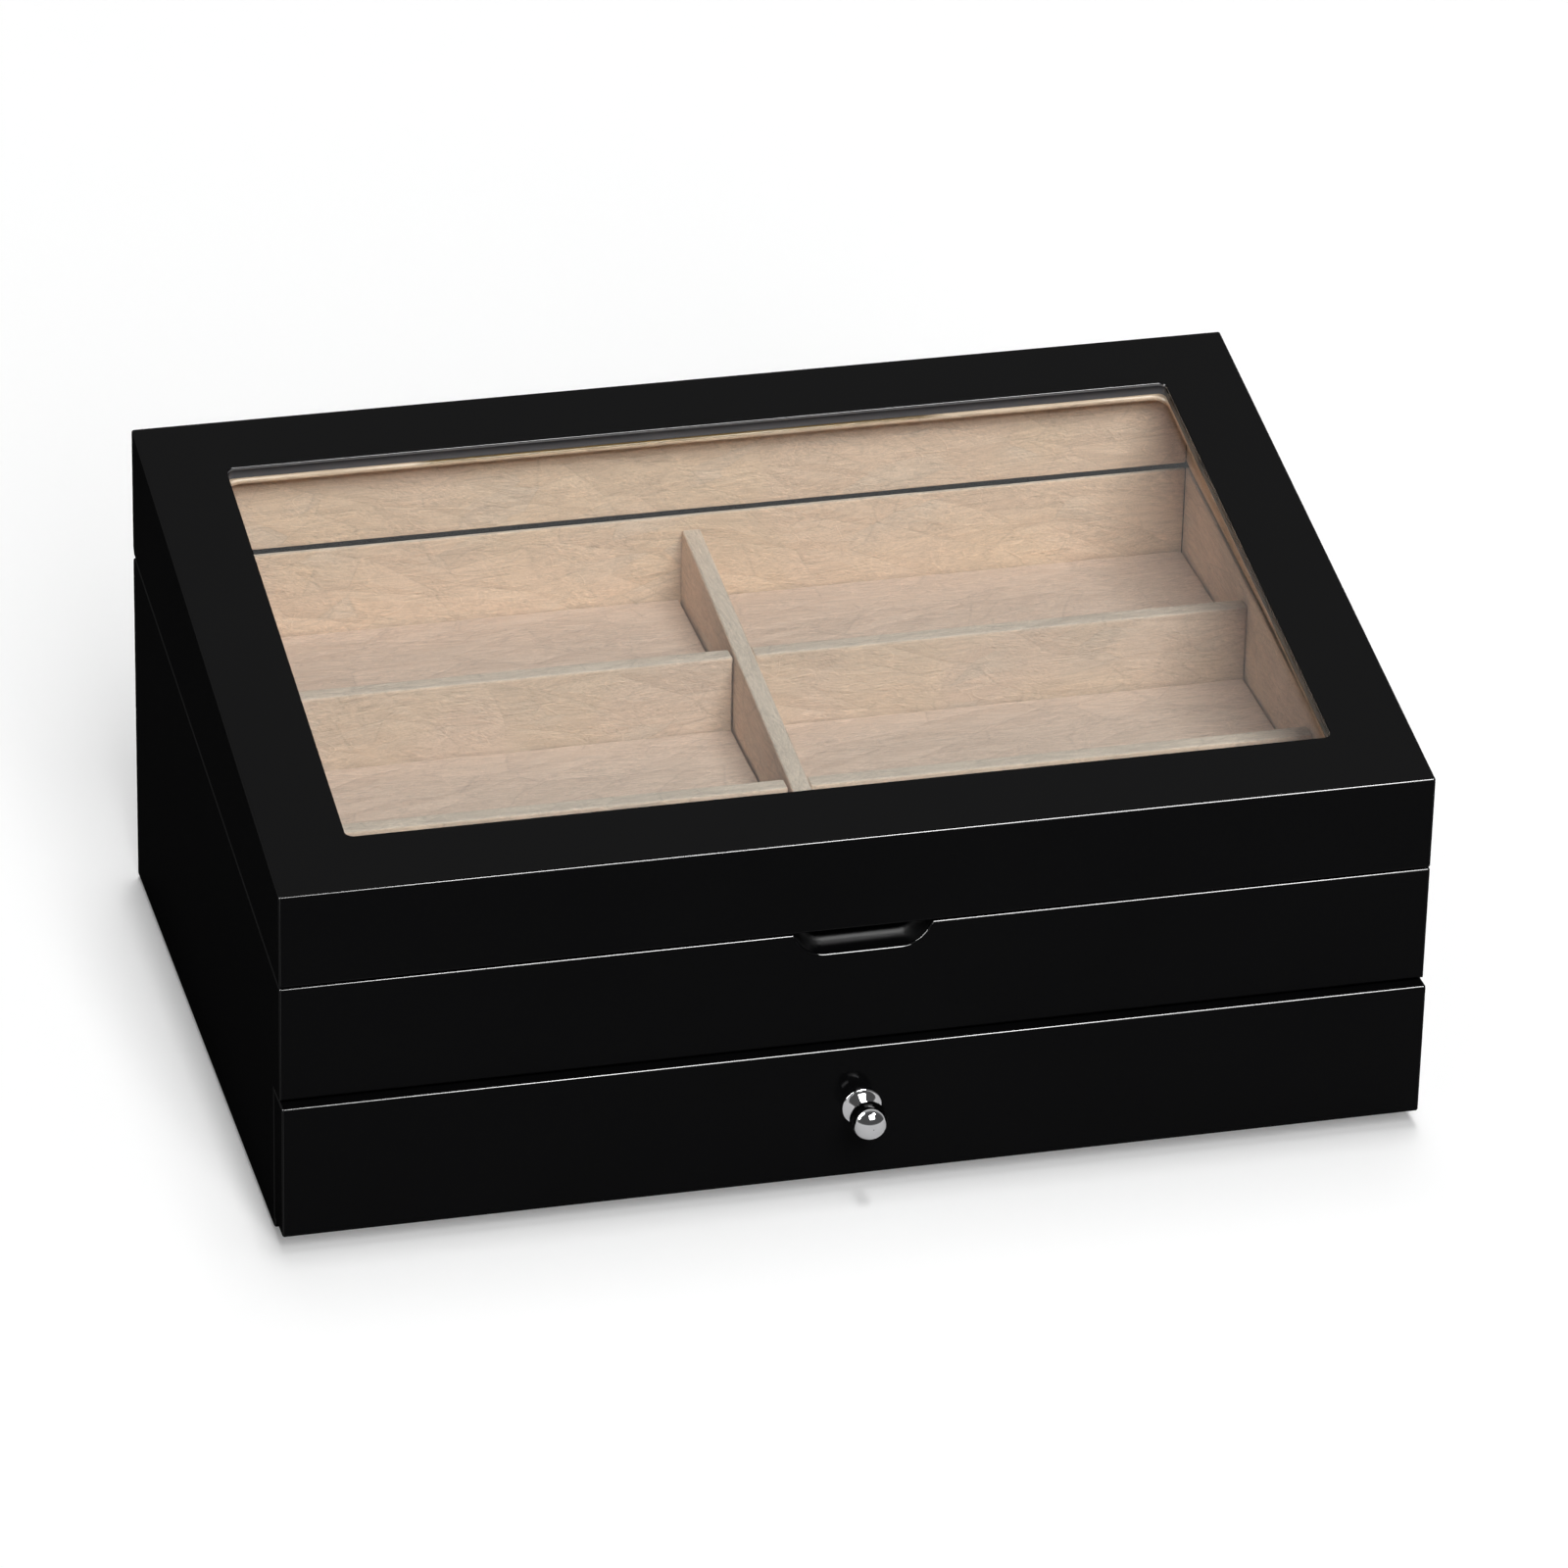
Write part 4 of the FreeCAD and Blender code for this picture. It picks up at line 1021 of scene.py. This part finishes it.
def dress():
    group = suede_group()
    suedes = {
        "across": suede_material("suede_across", group, True, SUEDE_TOP_PAINTED_SHEEN, LINING_COLOURS),
        "along": suede_material("suede_along", group, False, SUEDE_TOP_PAINTED_SHEEN, LINING_COLOURS),
        # The dividers' suede carries painted shade: a darker copy of the lining colours
        "divider": suede_material("suede_divider", group, True, SUEDE_TOP_PAINTED_SHEEN, DIVIDER_SHADED_COLOURS),
        "floor": suede_material("suede_floor", group, True, SUEDE_FLOOR_PAINTED_SHEEN, LINING_COLOURS),
    }
    make_covered_pieces(suedes, felt_material(), raw_card_material())
    smooth = smooth_tree()
    edges = edge_group(face_directions())
    lacquer = lacquer_material("black_lacquer", edges)
    finish_packed(LACQUERED, lacquer, smooth)
    window_lacquer = lacquer_material("window_lacquer", edges, window_wall_group())
    finish_packed(["lid_top_frame"], window_lacquer, smooth)
    notch_start = float(corners("upper_front_panel")[:, 1].min()) + NOTCH_EDGE
    notch_lacquer = lacquer_material("notch_lacquer", edges, None, notch_start)
    finish_packed(["upper_front_panel"], notch_lacquer, smooth)
    plain = board_material("plain_board", (0.010, 0.009, 0.008, 1), (0.030, 0.027, 0.024, 1), "X")
    finish_packed(PLAIN_BOARDS, plain, smooth)
    drawer = board_material("drawer_board", (0.008, 0.0075, 0.007, 1), (0.024, 0.022, 0.020, 1), "Y")
    finish_packed(DRAWER_BOARDS, drawer, smooth)
    finish_packed(["glass_pane"], glass_material(), smooth)
    chrome = metal_material("knob_chrome", (0.46, 0.46, 0.47, 1), 0.03, 0.05, 8.0, 2.0)
    finish_packed(["drawer_knob"], chrome, smooth)
    nickel = metal_material("hinge_nickel", (0.62, 0.61, 0.59, 1), 0.22, 0.16, 12.0, 0.12)
    finish_packed(HINGE_LEAVES, nickel, smooth)
    steel = metal_material("screw_steel", (0.55, 0.55, 0.56, 1), 0.25, 0.15, 1.5, 0.3)
    finish_packed(SCREWS, steel, smooth)


# The studio


def make_camera():
    camera = bpy.data.objects.new("camera", bpy.data.cameras.new("camera"))
    camera.data.lens = VIEW_LENS
    camera.data.sensor_width = VIEW_SENSOR
    level = math.cos(VIEW_ELEVATION)
    ahead = level * math.cos(VIEW_AZIMUTH)
    forward = Vector((level * math.sin(VIEW_AZIMUTH), ahead, -math.sin(VIEW_ELEVATION)))
    camera.location = VIEW_TARGET - VIEW_DISTANCE * forward
    upright = forward.to_track_quat("-Z", "Y")
    camera.rotation_euler = (upright.to_matrix() @ Matrix.Rotation(VIEW_ROLL, 3, "Z")).to_euler()
    bpy.context.scene.collection.objects.link(camera)
    bpy.context.scene.camera = camera


def make_lamp(name, place, target, width, depth, power):
    data = bpy.data.lights.new(name, "AREA")
    data.shape = "RECTANGLE"
    data.size = width
    data.size_y = depth
    data.energy = power
    lamp = bpy.data.objects.new(name, data)
    lamp.location = place
    lamp.rotation_euler = (Vector(target) - Vector(place)).to_track_quat("-Z", "Y").to_euler()
    bpy.context.scene.collection.objects.link(lamp)
    return lamp


def linked_collection(name, thing, state):
    group = bpy.data.collections.new(name)
    group.objects.link(thing)
    group.collection_objects[0].light_linking.link_state = state
    return group


def backdrop_share(tree):
    """1 for the rays that show the background, through glass and in metal too."""
    path = add(tree, "ShaderNodeLightPath").outputs
    share = calc(tree, "MAXIMUM", path["Is Camera Ray"], path["Is Glossy Ray"])
    return calc(tree, "MAXIMUM", share, path["Is Transmission Ray"])


def make_floor():
    half = 6.0
    below = -0.0002
    mesh = bpy.data.meshes.new("floor")
    points = [(-half, -half), (half, -half), (half, half), (-half, half)]
    mesh.from_pydata([(x, y, below) for x, y in points], [], [(0, 1, 2, 3)])
    floor = temporary_object("floor", mesh)
    material, tree, shader = new_material("floor")
    shader["Roughness"].default_value = 0.9
    shader["Specular IOR Level"].default_value = 0.0
    seen = backdrop_share(tree)
    colour = blend_colour(tree, seen, FLOOR_UNSEEN, FLOOR_SEEN)
    tree.links.new(colour, shader["Base Color"])
    shader["Emission Color"].default_value = (1, 1, 1, 1)
    tree.links.new(calc(tree, "MULTIPLY", seen, FLOOR_GLOW), shader["Emission Strength"])
    mesh.materials.append(material)
    return floor


def make_world():
    """White where it is seen, but a dim room above and behind the camera."""
    world = bpy.data.worlds.new("studio")
    bpy.context.scene.world = world
    world.use_nodes = True
    tree = world.node_tree
    tree.nodes.clear()
    way = add(tree, "ShaderNodeTexCoord").outputs["Generated"]
    way = add(tree, "ShaderNodeSeparateXYZ", {0: way}).outputs
    in_front = remap(tree, way[1], 0.15, -0.25)
    room = calc(tree, "MULTIPLY", in_front, remap(tree, way[2], -0.02, 0.10))
    seen = remap(tree, room, 0.0, 1.0, 1.0, ROOM_LEVEL)
    strength = blend_value(tree, backdrop_share(tree), SKY_LIGHT, seen)
    sky = add(tree, "ShaderNodeBackground", {"Color": (1, 1, 1, 1), "Strength": strength})
    output = add(tree, "ShaderNodeOutputWorld")
    tree.links.new(sky.outputs[0], output.inputs["Surface"])


def light_studio():
    make_world()
    floor = make_floor()
    only_floor = linked_collection("only_floor", floor, "INCLUDE")
    not_floor = linked_collection("not_floor", floor, "EXCLUDE")
    past_knob = linked_collection("past_knob", NODES["drawer_knob"], "EXCLUDE")
    for sizes in FLOOR_LAMPS:
        lamp = make_lamp(*sizes)
        lamp.light_linking.receiver_collection = only_floor
        lamp.light_linking.blocker_collection = past_knob
    key = make_lamp("key", (0.26, -1.62, 1.66), (0.0, 0.0, 0.08), 1.2, 1.0, 55.5)
    key.light_linking.receiver_collection = not_floor
    strip = make_lamp("strip", (0.37, -0.73, 1.20), (0.0, -0.115, 0.09), 0.62, 0.22, 24.0)
    side = make_lamp("side", (-0.92, -0.22, 0.80), (0.0, -0.12, 0.06), 0.25, 0.90, 24.0)
    for lamp in (strip, side):
        lamp.visible_diffuse = False
        lamp.visible_transmission = False
    bpy.context.scene.view_settings.view_transform = "Standard"


make_camera()
light_studio()
dress()
